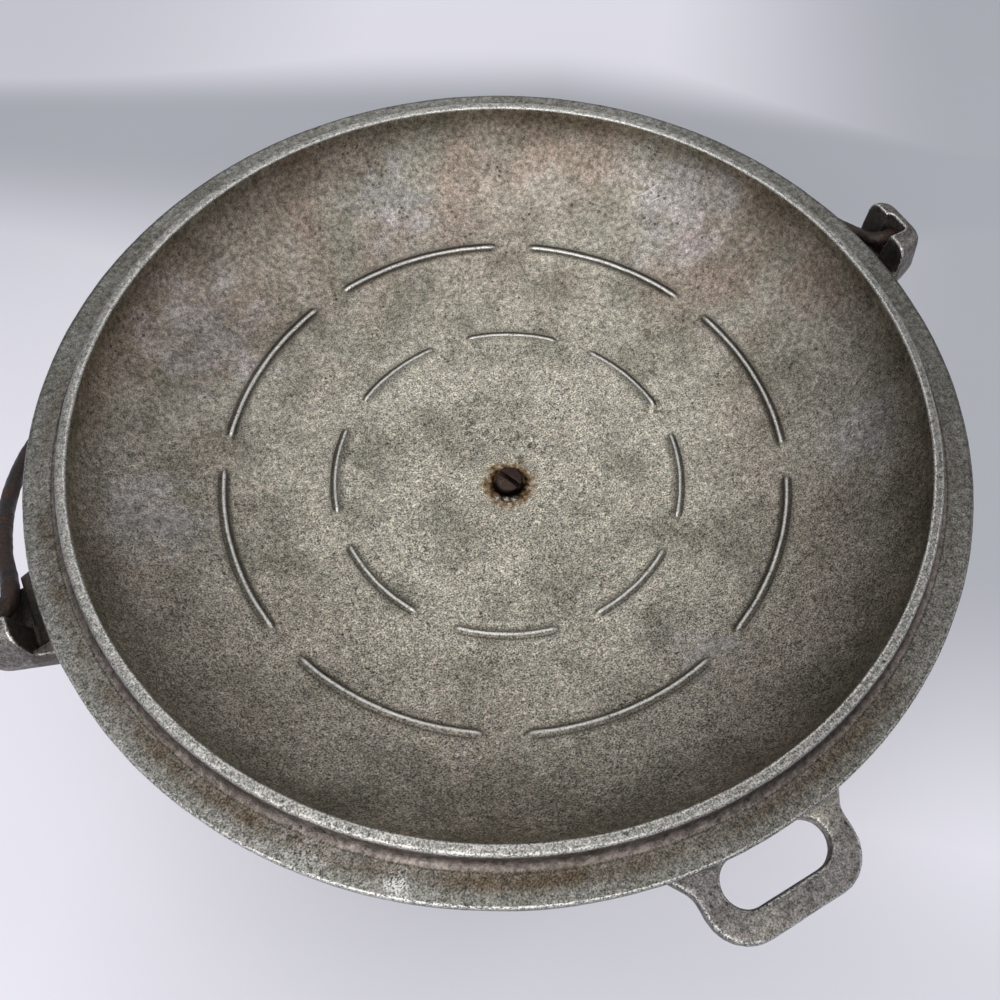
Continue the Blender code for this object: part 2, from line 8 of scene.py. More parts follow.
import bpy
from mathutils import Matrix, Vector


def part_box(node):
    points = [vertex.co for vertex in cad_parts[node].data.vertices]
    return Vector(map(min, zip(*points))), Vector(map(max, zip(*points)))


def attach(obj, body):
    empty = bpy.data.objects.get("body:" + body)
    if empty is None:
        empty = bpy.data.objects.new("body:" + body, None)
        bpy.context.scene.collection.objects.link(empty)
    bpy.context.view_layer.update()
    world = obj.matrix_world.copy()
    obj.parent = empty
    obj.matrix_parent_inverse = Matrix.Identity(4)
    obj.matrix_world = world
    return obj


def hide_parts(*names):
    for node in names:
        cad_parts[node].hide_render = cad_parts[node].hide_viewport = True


bl_info = {
    "name": "Dutch oven looks",
    "version": (1, 0, 0),
    "blender": (4, 5, 0),
    "location": "View3D > Sidebar > Dutch oven",
    "description": "Cast, rusted and moulded finishes for a dutch oven with an upturned lid",
    "category": "Object",
}

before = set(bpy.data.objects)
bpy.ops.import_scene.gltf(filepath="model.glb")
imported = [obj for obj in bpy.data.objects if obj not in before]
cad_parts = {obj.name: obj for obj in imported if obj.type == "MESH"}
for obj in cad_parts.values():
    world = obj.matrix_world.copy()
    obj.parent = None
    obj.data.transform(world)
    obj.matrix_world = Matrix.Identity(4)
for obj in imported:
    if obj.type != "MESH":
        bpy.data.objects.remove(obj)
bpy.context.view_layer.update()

import math

import bmesh
import bpy
import numpy as np
from bpy.props import FloatProperty, FloatVectorProperty, IntProperty, PointerProperty
from mathutils import Matrix, Vector

MM = 0.001

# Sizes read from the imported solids
LID_LOW, LID_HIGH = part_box("lid")
POT_LOW, POT_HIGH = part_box("pot")
SCREW_LOW, SCREW_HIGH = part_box("knob_screw")
KNOB_LOW, KNOB_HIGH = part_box("knob")
BAIL_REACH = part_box("bail")[1].x
FLANGE_RADIUS = LID_HIGH.x
RING_TOP = LID_HIGH.z

# Marks of use on the lid, each with its place and its reach in millimetres
# Rubbed patches: partly real polish, partly a painted sheen
RUBBED_SHEEN_PATCHES = (((98.8, 55.8, 100.0), 27), ((-67.8, 82.6, 94.3), 25), ((-104.5, 23.6, 94.5), 23),
                  ((9.2, 105.6, 93.7), 19), ((98.7, -48.7, 96.8), 17), ((20.0, -82.0, 84.0), 15))
DARK_SPOTS = (((69.4, 27.2, 79.1), 7), ((57.9, -0.4, 74.8), 7), ((9.5, 10.1, 69.3), 11),
              ((-0.3, 22.1, 69.8), 8), ((63.0, 12.0, 77.0), 5))
WHITE_SPOTS = (((-82.4, -103.0, 112.3), 4), ((-6.4, -4.0, 68.8), 1.1), ((-3.9, -5.6, 68.8), 1.1),
               ((-1.6, -6.6, 68.8), 1.3))
PALE_SPOT = ((-98.9, -87.0, 112.3), 7)
# Scratches as arcs: middle, radius, and the place and reach where they show, in millimetres
SCRATCHES = (((0.0, 0.0), 61.0, (-45.0, -40.5, 75.5), 15), ((96.6, 87.8), 21.4, (90.9, 67.2, 99.5), 7),
             ((89.1, 54.3), 9.7, (92.5, 63.4, 98.6), 8))
# Where water has washed rust out of the screw's hole, and a painted glint on the screw's head
RUST_WASH = (-0.7, -1.1, 0.0)
HEAD_GLINT = ((-2.5, 0.6, 69.2), 1.6)
# Soft lamps by name, place, width and power
SOFTBOXES = (("softbox_over", (-0.25, -0.08, 1.45), 1.2, 5.5),
             ("softbox_front", (-0.55, -0.66, 1.0), 1.1, 10.0),
             ("softbox_right", (0.9, -0.35, 0.75), 0.6, 2.0),
             ("softbox_back", (0.42, 0.92, 0.95), 0.7, 2.5))
# Point that they face, half the floor's width, and the width of the camera's sensor in millimetres
LAMP_TARGET = Vector((0.0, 0.0, 0.09))
FLOOR_REACH = 6.0
SENSOR_WIDTH = 36.0
# Faces round the smaller turned pieces
CUTTER_AROUND, KNOB_AROUND, SCREW_AROUND = 128, 96, 64

# Sockets of the colour Mix node
FACTOR, UNDER, OVER, MIXED = 0, 6, 7, 2


def linear(code):
    """Linear colour of an sRGB hex code."""
    parts = [int(code[i:i + 2], 16) / 255 for i in (1, 3, 5)]
    return tuple(c / 12.92 if c <= 0.04045 else ((c + 0.055) / 1.055) ** 2.4 for c in parts)


def length(name, description, millimetres):
    """Length setting, given in millimetres and kept in metres."""
    return FloatProperty(name=name, description=description, default=millimetres * MM, unit="LENGTH",
                         precision=5)


def tone(name, description, code):
    """Colour setting, given as an sRGB hex code."""
    return FloatVectorProperty(name=name, description=description, default=linear(code), subtype="COLOR",
                               min=0.0, max=1.0)


def degrees(name, description, amount):
    """Angle setting, given in degrees and kept in radians."""
    return FloatProperty(name=name, description=description, default=math.radians(amount), subtype="ANGLE")


class LidSettings(bpy.types.PropertyGroup):
    """Sizes of the lid as it lies upside down."""
    flange_thickness: length("Flange thickness", "Height of the flange's edge", 4.0)
    flange_edge: length("Flange edge", "Rounding of the flange's two corners", 1.0)
    ring_rise: length("Ring rise", "Height of the locating ring over the flange", 5.3)
    ring_width: length("Ring width", "Width of the ring's worn top", 3.2)
    ring_lip: length("Ring lip", "How far the ring stands in over the dome", 0.4)
    ring_edge: length("Ring edge", "Rounding of the ring's inner corner", 0.8)
    ring_shoulder: length("Ring shoulder", "Rounding of the ring's outer corner", 1.3)
    ring_foot: length("Ring foot", "Fillet between the ring and the flange", 2.6)
    dome_radius: length("Dome radius", "Inner radius of the dome at its mouth", 121.8)
    dome_depth: length("Dome depth", "Depth of the dome's inside under the ring's top", 48.6)
    wall: length("Wall", "Thickness of the dome", 4.0)
    boss_radius: length("Boss radius", "Radius of the knob's seat", 12.5)
    boss_edge: length("Boss edge", "Rounding of the knob's seat", 0.8)
    recess_radius: length("Recess radius", "Radius of the recess round the screw's head", 5.2)
    recess_depth: length("Recess depth", "Depth of that recess under the dome", 0.8)
    hole_radius: length("Hole radius", "Radius of the screw's hole", 2.4)
    around: IntProperty(name="Steps around", description="Faces round the lid", default=440)
    ridge_count: IntProperty(name="Ridges", description="Drip ridges in each circle", default=8)
    ridge_height: length("Ridge height", "Height of a drip ridge", 1.25)
    ridge_half_width: length("Ridge half width", "Half the width of a ridge at its foot", 1.35)
    ridge_taper: length("Ridge taper", "Length over which a ridge's end fades out", 3.0)
    outer_circle: length("Outer circle", "Radius of the outer circle of ridges", 88.4)
    outer_span: degrees("Outer span", "Angle that an outer ridge covers", 38.8)
    outer_turn: degrees("Outer turn", "Angle of the first outer ridge", -5.8)
    inner_circle: length("Inner circle", "Radius of the inner circle of ridges", 56.0)
    inner_span: degrees("Inner span", "Angle that an inner ridge covers", 35.0)
    inner_turn: degrees("Inner turn", "Angle of the first inner ridge", 16.5)


class PotSettings(bpy.types.PropertyGroup):
    """Sizes of the pot's wall, and of the skin of its ears and tab."""
    height: length("Height", "Height of the rim over the base", 108.0)
    rim_radius: length("Rim radius", "Outer radius of the rim", 132.8)
    rim_round: length("Rim round", "Rounding of the rim's two corners", 1.4)
    wall: length("Wall", "Thickness of the wall", 4.5)
    floor: length("Floor", "Thickness of the floor", 5.0)
    base_radius: length("Base radius", "Outer radius that the wall would have at the base", 116.0)
    base_corner: length("Base corner", "Rounding between the wall and the base", 26.0)
    around: IntProperty(name="Steps around", description="Faces round the wall", default=320)
    ear_inner: length("Ear inner face", "Distance of an ear's troughs from the middle, at their start", 132.0)
    ear_front: length("Front lobe face", "Distance of a front lobe's inner face from the middle", 142.0)
    ear_back: length("Back lobe face", "Distance of a back lobe's inner face from the middle", 147.0)
    ear_step: length("Lobe step", "Distance behind the pot's middle where the front lobe ends", 1.5)
    ear_foot: length("Trough foot", "Height of the troughs' floor", 97.0)
    skin: length("Skin", "Size of the faces on the ears and the tab", 0.45)
    softening: IntProperty(name="Softening", description="How often their skin is smoothed", default=7)


class BailSettings(bpy.types.PropertyGroup):
    """Sizes of the wire bail."""
    wire_radius: length("Wire radius", "Half the wire's thickness", 2.4)
    hinge_under_ring: length("Hinge under ring", "Height of the ring's top over the hinge line", 10.5)
    hinge_setback: length("Hinge setback", "Distance of the hinge line behind the pot's middle", 6.2)
    leg: length("Leg", "Distance of a leg from the middle, in the ear's trough", 142.3)
    bend: length("Bend", "Radius of the bend into the ear", 5.0)
    spread: length("Spread", "How far the legs spread on their way to the bow", 1.3)
    spread_start: length("Spread start", "Distance from the hinge at which the legs begin to spread", 10.0)
    bow_start: length("Bow start", "Distance from the hinge at which the bow begins", 30.0)
    reach: length("Reach", "Distance of the bow's middle from the hinge", 165.0)
    power: FloatProperty(name="Squareness", default=2.2,
                         description="Exponent of the bow's curve, 2 for an ellipse")
    hang: degrees("Hang", "Angle of the bail below the horizontal", 26.0)


class KnobSettings(bpy.types.PropertyGroup):
    """Sizes of the knob and of its screw's head."""
    collar: length("Collar", "How far the collar stands out from the neck", 1.5)
    collar_height: length("Collar height", "Height of the collar", 2.5)
    neck_radius: length("Neck radius", "Radius of the neck", 10.5)
    neck_length: length("Neck length", "Length of the neck with its collar", 10.0)
    grip: length("Grip", "Height of the grip", 13.0)
    socket_radius: length("Socket radius", "Radius of the socket for the threaded insert", 4.5)
    socket_depth: length("Socket depth", "Depth of that socket", 16.0)
    head_radius: length("Head radius", "Radius of the screw's head", 4.6)
    head_height: length("Head height", "Height of the screw's head", 2.6)
    shank_radius: length("Shank radius", "Radius of the screw's shank", 2.1)
    drive_width: length("Slot width", "Width of the slot in the screw's head", 1.4)
    drive_depth: length("Slot depth", "Depth of that slot", 1.5)
    drive_turn: degrees("Slot turn", "Direction of that slot", -66.0)


class FinishSettings(bpy.types.PropertyGroup):
    """Colours of the finishes."""
    bowl: tone("Bowl", "Seasoned aluminium in the middle of the dome", "#aeaa9d")
    bowl_wall: tone("Bowl wall", "Darker seasoning on the dome's steep wall", "#989388")
    bowl_brown: tone("Bowl brown", "Brown cooked-on film", "#8e7e72")
    # Sheen colour of the rubbed patches, partly a painted sheen
    sheen: tone("Sheen", "Cool grey of rubbed patches", "#b2aeb0")
    smudge: tone("Smudge", "Dark olive smudges", "#5f5d50")
    pit: tone("Pit", "Dark bottoms of the casting's pits", "#37342c")
    # Grime colour: real dirt and soot, and also painted shade in corners, beside ridges, under the ring, in
    # the ears' troughs and on the lid's darker side and far edge
    grime_and_shade: tone("Grime", "Dirt in the corners", "#35302a")
    bare: tone("Bare metal", "Rubbed bright edges", "#d6d5d0")
    ring: tone("Ring", "Scuffed top of the locating ring", "#a3a19b")
    flank: tone("Flank", "Outer side of the locating ring", "#7f746f")
    stain: tone("Stain", "Baked-on brown stain beside the ring", "#5b4e3f")
    flange: tone("Flange", "Dull metal of the flange", "#878680")
    pot: tone("Pot", "Dull metal of the pot", "#736f6c")
    rust: tone("Rust", "Fresh orange rust", "#a3692c")
    rust_dark: tone("Dark rust", "Old brown rust", "#35231c")
    wash: tone("Rust wash", "Yellow-brown stain round the screw", "#785726")
    char: tone("Char", "Black-brown dirt in the screw's recess and slot", "#1c130e")
    steel: tone("Steel", "Dark skin of the wire", "#3b3230")
    screw: tone("Screw", "Brown skin of the screw", "#403130")
    black: tone("Black", "Moulded knob", "#17171a")
    brass: tone("Brass", "Threaded insert", "#b08d4c")


class StageSettings(bpy.types.PropertyGroup):
    """Floor, light and camera."""
    floor: tone("Floor", "Pale seamless floor", "#e4e2ea")
    sky: tone("Sky", "Light from all round", "#d9dbe2")
    # Shade colour: painted shade and shadows on the flat floor, where a backdrop's fold would be
    shade: tone("Shade", "Backdrop's dim fold behind the pot", "#979aa0")
    sky_strength: FloatProperty(name="Sky strength", default=0.45,
                                description="Strength of the light from all round")
    floor_glow: FloatProperty(name="Floor glow", default=0.12,
                              description="Extra paleness of the floor as it is seen, not as it lights")
    camera_place: FloatVectorProperty(name="Camera place", description="Place of the camera",
                                      default=(-0.0716, -0.1381, 0.3429), subtype="TRANSLATION",
                                      unit="LENGTH")
    camera_heading: degrees("Heading", "Direction that the camera faces, from +Y towards +X", 33.0)
    camera_dip: degrees("Dip", "Angle of the camera's gaze below the horizon", 61.44)
    camera_roll: degrees("Roll", "Turn of the camera about its own gaze", 4.73)
    lens: FloatProperty(name="Lens", description="Focal length on the sensor", default=34.2, unit="CAMERA")
    shift: FloatProperty(name="Shift", default=-0.0534,
                         description="Sideways shift that frames the photograph")


def feed(tree, node, inputs):
    """Link sockets to a node's inputs, or write plain values on them."""
    for key, value in inputs.items():
        if isinstance(value, bpy.types.NodeSocket):
            tree.links.new(value, node.inputs[key])
        else:
            node.inputs[key].default_value = value


def add(tree, kind, inputs=None, out=0, **settings):
    """Add a node with its settings and links, and return one of its outputs."""
    made = tree.nodes.new(kind)
    for name, value in settings.items():
        setattr(made, name, value)
    feed(tree, made, inputs or {})
    return made.outputs[out] if len(made.outputs) else made


def joined(tree, operation, masks):
    """A whole row of masks in one, each joined to those before it."""
    whole, *others = masks
    for mask in others:
        whole = add(tree, "ShaderNodeMath", {0: whole, 1: mask}, operation=operation)
    return whole


def new_tree(name, sizes):
    """Geometry tree with a mesh, some named numbers and a material as its inputs."""
    tree = bpy.data.node_groups.new(name, "GeometryNodeTree")
    tree.interface.new_socket("Geometry", in_out="OUTPUT", socket_type="NodeSocketGeometry")
    tree.interface.new_socket("Geometry", in_out="INPUT", socket_type="NodeSocketGeometry")
    for label in sizes:
        tree.interface.new_socket(label, in_out="INPUT", socket_type="NodeSocketFloat")
    tree.interface.new_socket("Material", in_out="INPUT", socket_type="NodeSocketMaterial")
    entry = tree.nodes.new("NodeGroupInput")
    return tree, {socket.name: socket for socket in entry.outputs if socket.name}


def end_tree(tree, geometry, material):
    """Close a geometry tree: real faces, smooth shading and one material."""
    real = add(tree, "GeometryNodeRealizeInstances", {"Geometry": geometry})
    smooth = add(tree, "GeometryNodeSetShadeSmooth", {"Geometry": real})
    done = add(tree, "GeometryNodeSetMaterial", {"Geometry": smooth, "Material": material})
    add(tree, "NodeGroupOutput", {"Geometry": done})


def sink(tree, size, depth, limits, detail):
    """Distance that lets a surface sink by noise of a size, down to a depth, between two limits of it."""
    place = add(tree, "GeometryNodeInputPosition")
    scale = add(tree, "ShaderNodeMath", {0: 1.0, 1: size}, operation="DIVIDE")
    noise = add(tree, "ShaderNodeTexNoise", {"Vector": place, "Scale": scale, "Detail": detail})
    sunk = add(tree, "ShaderNodeMapRange",
               {"Value": noise, "From Min": limits[0], "From Max": limits[1], "To Max": -1.0})
    return add(tree, "ShaderNodeMath", {0: sunk, 1: depth}, operation="MULTIPLY")


def moved_out(tree, geometry, distance, **only):
    """Mesh whose points, or only some of them, are moved along their normals."""
    normal = add(tree, "GeometryNodeInputNormal")
    offset = add(tree, "ShaderNodeVectorMath", {0: normal, "Scale": distance}, operation="SCALE")
    return add(tree, "GeometryNodeSetPosition", {"Geometry": geometry, "Offset": offset, **only})


def ridge_tree():
    """Raises a circle of tapering ridges on the upper side of a turned mesh."""
    tree, entry = new_tree("raised_ridges", ("Count", "Circle", "Span", "Turn", "Height", "Half Width",
                                             "Taper"))
    place = add(tree, "GeometryNodeInputPosition")
    normal = add(tree, "GeometryNodeInputNormal")
    flat = add(tree, "ShaderNodeVectorMath", {0: place, 1: (1.0, 1.0, 0.0)}, operation="MULTIPLY")
    radius = add(tree, "ShaderNodeVectorMath", {0: flat}, out=1, operation="LENGTH")
    axes = add(tree, "ShaderNodeSeparateXYZ", {0: place}).node.outputs
    angle = add(tree, "ShaderNodeMath", {0: axes["Y"], 1: axes["X"]}, operation="ARCTAN2")
    angle = add(tree, "ShaderNodeMath", {0: angle, 1: entry["Turn"]}, operation="SUBTRACT")
    half_pitch = add(tree, "ShaderNodeMath", {0: math.pi, 1: entry["Count"]}, operation="DIVIDE")
    below = add(tree, "ShaderNodeMath", {0: half_pitch, 1: -1.0}, operation="MULTIPLY")
    local = add(tree, "ShaderNodeMath", {0: angle, 1: half_pitch, 2: below}, operation="WRAP")
    off_middle = add(tree, "ShaderNodeMath", {0: local}, operation="ABSOLUTE")
    half_span = add(tree, "ShaderNodeMath", {0: entry["Span"], 1: 0.5}, operation="MULTIPLY")
    left = add(tree, "ShaderNodeMath", {0: half_span, 1: off_middle}, operation="SUBTRACT")
    left = add(tree, "ShaderNodeMath", {0: left, 1: entry["Circle"]}, operation="MULTIPLY")
    fade = add(tree, "ShaderNodeMapRange", {"Value": left, "From Max": entry["Taper"]},
               interpolation_type="SMOOTHSTEP")
    # The ridge narrows with its height towards its ends
    width = add(tree, "ShaderNodeMapRange", {"Value": fade, "To Min": 0.6, "To Max": 1.0})
    width = add(tree, "ShaderNodeMath", {0: width, 1: entry["Half Width"]}, operation="MULTIPLY")
    across = add(tree, "ShaderNodeMath", {0: radius, 1: entry["Circle"]}, operation="SUBTRACT")
    across = add(tree, "ShaderNodeMath", {0: across, 1: width}, operation="DIVIDE")
    square = add(tree, "ShaderNodeMath", {0: across, 1: across}, operation="MULTIPLY")
    bead = add(tree, "ShaderNodeMath", {0: 1.0, 1: square}, operation="SUBTRACT", use_clamp=True)
    bead = add(tree, "ShaderNodeMath", {0: bead, 1: 1.1}, operation="POWER")
    # A broad low swelling carries the ridge
    wide = add(tree, "ShaderNodeMapRange",
               {"Value": square, "From Min": 9.0, "From Max": 0.0, "To Max": 0.14},
               interpolation_type="SMOOTHSTEP")
    bead = add(tree, "ShaderNodeMath", {0: bead, 1: wide}, operation="ADD")
    lumps = add(tree, "ShaderNodeTexNoise", {"Vector": place, "Scale": 1 / (9 * MM), "Detail": 1.0})
    lumps = add(tree, "ShaderNodeMapRange", {"Value": lumps, "From Min": 0.25, "From Max": 0.75,
                                             "To Min": 0.8, "To Max": 1.0})
    rise = joined(tree, "MULTIPLY", (bead, fade, lumps, entry["Height"]))
    up = add(tree, "ShaderNodeSeparateXYZ", {0: normal}, out=2)
    top_side = add(tree, "FunctionNodeCompare", {0: up, 1: 0.3}, operation="GREATER_THAN")
    moved = moved_out(tree, entry["Geometry"], rise, Selection=top_side)
    # A band round each ridge, stored for its rubbed crest and for the grime and painted shade beside it
    strip = add(tree, "ShaderNodeMapRange", {"Value": square, "From Min": 2.6, "From Max": 0.9},
                interpolation_type="SMOOTHSTEP")
    strip = add(tree, "ShaderNodeMath", {0: strip, 1: fade}, operation="MULTIPLY")
    # The second circle keeps the mark of the first
    before = add(tree, "GeometryNodeInputNamedAttribute", {"Name": "ridge"}, data_type="FLOAT")
    strip = add(tree, "ShaderNodeMath", {0: strip, 1: before}, operation="MAXIMUM")
    marked = add(tree, "GeometryNodeStoreNamedAttribute",
                 {"Geometry": moved, "Name": "ridge", "Value": strip}, data_type="FLOAT", domain="POINT")
    end_tree(tree, marked, entry["Material"])
    return tree


def cast_skin_tree():
    """Sinks a mesh unevenly by two sizes of noise, as sand leaves a casting."""
    tree, entry = new_tree("cast_skin", ("Wave Size", "Wave Depth", "Grain Size", "Grain Depth"))
    depth = joined(tree, "ADD", [sink(tree, entry[part + " Size"], entry[part + " Depth"], (0.25, 0.75), 1.5)
                                 for part in ("Wave", "Grain")])
    end_tree(tree, moved_out(tree, entry["Geometry"], depth), entry["Material"])
    return tree


def wire_tree():
    """Sweeps a round, slightly pitted wire along a chain of edges."""
    tree, entry = new_tree("swept_wire", ("Wire Radius", "End Taper", "Pit Size", "Pit Depth"))
    path = add(tree, "GeometryNodeMeshToCurve", {"Mesh": entry["Geometry"]})
    along = add(tree, "GeometryNodeSplineParameter", out=1)
    whole = add(tree, "GeometryNodeSplineLength")
    left = add(tree, "ShaderNodeMath", {0: whole, 1: along}, operation="SUBTRACT")
    nearest = add(tree, "ShaderNodeMath", {0: left, 1: along}, operation="MINIMUM")
    full = add(tree, "ShaderNodeMapRange",
               {"Value": nearest, "From Max": entry["End Taper"], "To Min": 0.8})
    size = add(tree, "ShaderNodeMath", {0: full, 1: entry["Wire Radius"]}, operation="MULTIPLY")
    section = add(tree, "GeometryNodeCurvePrimitiveCircle", {"Resolution": 24, "Radius": 1.0})
    tube = add(tree, "GeometryNodeCurveToMesh",
               {"Curve": path, "Profile Curve": section, "Scale": size, "Fill Caps": True})
    pits = sink(tree, entry["Pit Size"], entry["Pit Depth"], (0.35, 0.7), 2.0)
    end_tree(tree, moved_out(tree, tube, pits), entry["Material"])
    return tree


def run_tree(obj, tree, **values):
    """Put a geometry tree on an object and set its inputs by their identifiers."""
    modifier = obj.modifiers.new(tree.name, "NODES")
    modifier.node_group = tree
    wanted = {name.replace("_", " ").title(): value for name, value in values.items()}
    for item in tree.interface.items_tree:
        if item.in_out == "INPUT" and item.name in wanted:
            modifier[item.identifier] = wanted[item.name]


def new_object(name, mesh, material=None):
    """Link a new object to the scene and give its mesh a material."""
    obj = bpy.data.objects.new(name, mesh)
    bpy.context.scene.collection.objects.link(obj)
    if material is not None:
        mesh.materials.append(material)
    return obj


def bake(obj):
    """Turn an object's modifiers into a plain mesh."""
    bpy.context.view_layer.update()
    graph = bpy.context.evaluated_depsgraph_get()
    mesh = bpy.data.meshes.new_from_object(obj.evaluated_get(graph))
    obj.modifiers.clear()
    obj.data = mesh
    mesh.name = obj.name
    return mesh


def rounded(corners, closed=False):
    """Outline through corners (x, y, fillet radius, segments), with each corner rounded."""
    points = []
    last = len(corners) - 1
    for i, (x, y, radius, segments) in enumerate(corners):
        if radius == 0 or (not closed and i in (0, last)):
            points.append((x, y))
            continue
        here = Vector((x, y))
        before = (Vector(corners[i - 1][:2]) - here).normalized()
        after = (Vector(corners[(i + 1) % len(corners)][:2]) - here).normalized()
        half = before.angle(after) / 2
        middle = here + (before + after).normalized() * (radius / math.sin(half))
        first = here + before * (radius / math.tan(half)) - middle
        final = here + after * (radius / math.tan(half)) - middle
        sweep = first.angle_signed(final)
        for k in range(segments + 1):
            points.append(tuple(middle + Matrix.Rotation(-sweep * k / segments, 2) @ first))
    return points


def plain(points):
    """The same points as corners without a fillet."""
    return [(x, y, 0.0, 0) for x, y in points]


def divided(points, step, closed=False):
    """The same outline with no side longer than a step."""
    ends = points[1:] + points[:1] if closed else points[1:]
    result = []
    for a, b in zip(points, ends):
        count = max(1, math.ceil(math.dist(a, b) / step))
        result += [(a[0] + (b[0] - a[0]) * k / count, a[1] + (b[1] - a[1]) * k / count)
                   for k in range(count)]
    return result if closed else result + [points[-1]]


def turned(name, outline, around, closed=False):
    """Mesh turned about the vertical axis from an outline of radius and height."""
    bm = bmesh.new()
    verts = [bm.verts.new((r, 0.0, z)) for r, z in outline]
    edges = [bm.edges.new(pair) for pair in zip(verts, verts[1:])]
    if closed:
        edges.append(bm.edges.new((verts[-1], verts[0])))
    bmesh.ops.spin(bm, geom=verts + edges, cent=(0, 0, 0), axis=(0, 0, 1), angle=math.tau, steps=around)
    bmesh.ops.remove_doubles(bm, verts=bm.verts, dist=0.005 * MM)
    bmesh.ops.recalc_face_normals(bm, faces=bm.faces)
    mesh = bpy.data.meshes.new(name)
    bm.to_mesh(mesh)
    bm.free()
    mesh.shade_smooth()
    return mesh


def mark_curvature(mesh, passes=2):
    """Store how strongly each point bulges, in 1/mm: above 0 on edges, below 0 in corners."""
    count = len(mesh.vertices)
    places = np.empty(count * 3)
    normals = np.empty(count * 3)
    ends = np.empty(len(mesh.edges) * 2, dtype=np.int64)
    mesh.vertices.foreach_get("co", places)
    mesh.vertices.foreach_get("normal", normals)
    mesh.edges.foreach_get("vertices", ends)
    places = places.reshape(-1, 3)
    normals = normals.reshape(-1, 3)
    a, b = ends.reshape(-1, 2).T
    step = places[b] - places[a]
    square = (step ** 2).sum(1)
    number = np.bincount(a, minlength=count) + np.bincount(b, minlength=count)
    number = np.maximum(number, 1)
    bulge = np.bincount(a, -2 * (normals[a] * step).sum(1) / square, count)
    bulge += np.bincount(b, 2 * (normals[b] * step).sum(1) / square, count)
    bulge *= MM / number
    for _ in range(passes):
        around = np.bincount(a, bulge[b], count) + np.bincount(b, bulge[a], count)
        bulge = (bulge + around / number) / 2
    attribute = mesh.attributes.new("curvature", "FLOAT", "POINT")
    attribute.data.foreach_set("value", bulge.astype(np.float32))


def finish_piece(obj, body, node):
    """Hand a finished piece to the frame."""
    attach(obj, body)
    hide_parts(node)
    return obj


def new_material(name):
    """Material with an empty tree but for its Principled shader, and that shader."""
    material = bpy.data.materials.new(name)
    material.use_nodes = True
    return material, material.node_tree, material.node_tree.nodes["Principled BSDF"]


def opaque(colour):
    """Colour with full alpha, as a node socket takes it."""
    return (*colour, 1.0)


def coats(tree, colour, layers):
    """Lay colours over a colour one after another, each as far as its mask says."""
    for mask, over in layers:
        colour = add(tree, "ShaderNodeMix", {FACTOR: mask, UNDER: colour, OVER: opaque(over)}, out=MIXED,
                     data_type="RGBA")
    return colour


def blots(tree, place, marks, most):
    """Mask of some uneven round patches, each given by its place and its reach in millimetres."""
    patches = []
    for centre, reach in marks:
        reach *= MM
        ragged = add(tree, "ShaderNodeTexNoise", {"Vector": place, "Scale": 2.5 / reach, "Detail": 5.0})
        ragged = add(tree, "ShaderNodeMapRange", {"Value": ragged, "From Min": 0.3, "From Max": 0.7,
                                                  "To Min": -0.5 * reach, "To Max": 0.5 * reach})
        away = add(tree, "ShaderNodeVectorMath", {0: place, 1: [c * MM for c in centre]}, out=1,
                   operation="DISTANCE")
        away = add(tree, "ShaderNodeMath", {0: away, 1: ragged}, operation="ADD")
        patches.append(add(tree, "ShaderNodeMapRange",
                           {"Value": away, "From Min": reach, "From Max": 0.1 * reach, "To Max": most},
                           interpolation_type="SMOOTHSTEP"))
    return joined(tree, "MAXIMUM", patches)


def band(tree, value, start, end, soft, most=1.0):
    """Mask of a band of a value, with soft sides."""
    rise, fall = (
        add(tree, "ShaderNodeMapRange", {"Value": value, "From Min": none, "From Max": full, "To Max": high},
            interpolation_type="SMOOTHSTEP")
        for none, full, high in ((start - soft, start + soft, most), (end + soft, end - soft, 1.0)))
    return add(tree, "ShaderNodeMath", {0: rise, 1: fall}, operation="MULTIPLY")


def scratches(tree, place, marks):
    """Mask of thin arcs on the lid."""
    flat = add(tree, "ShaderNodeVectorMath", {0: place, 1: (1.0, 1.0, 0.0)}, operation="MULTIPLY")
    half, lines = 0.12, []
    for (x, y), radius, spot, reach in marks:
        away = add(tree, "ShaderNodeVectorMath", {0: flat, 1: (x * MM, y * MM, 0.0)}, out=1,
                   operation="DISTANCE")
        line = band(tree, away, (radius - half) * MM, (radius + half) * MM, half * MM)
        shown = blots(tree, place, ((spot, reach),), 0.8)
        lines.append(add(tree, "ShaderNodeMath", {0: line, 1: shown}, operation="MULTIPLY"))
    return joined(tree, "MAXIMUM", lines)


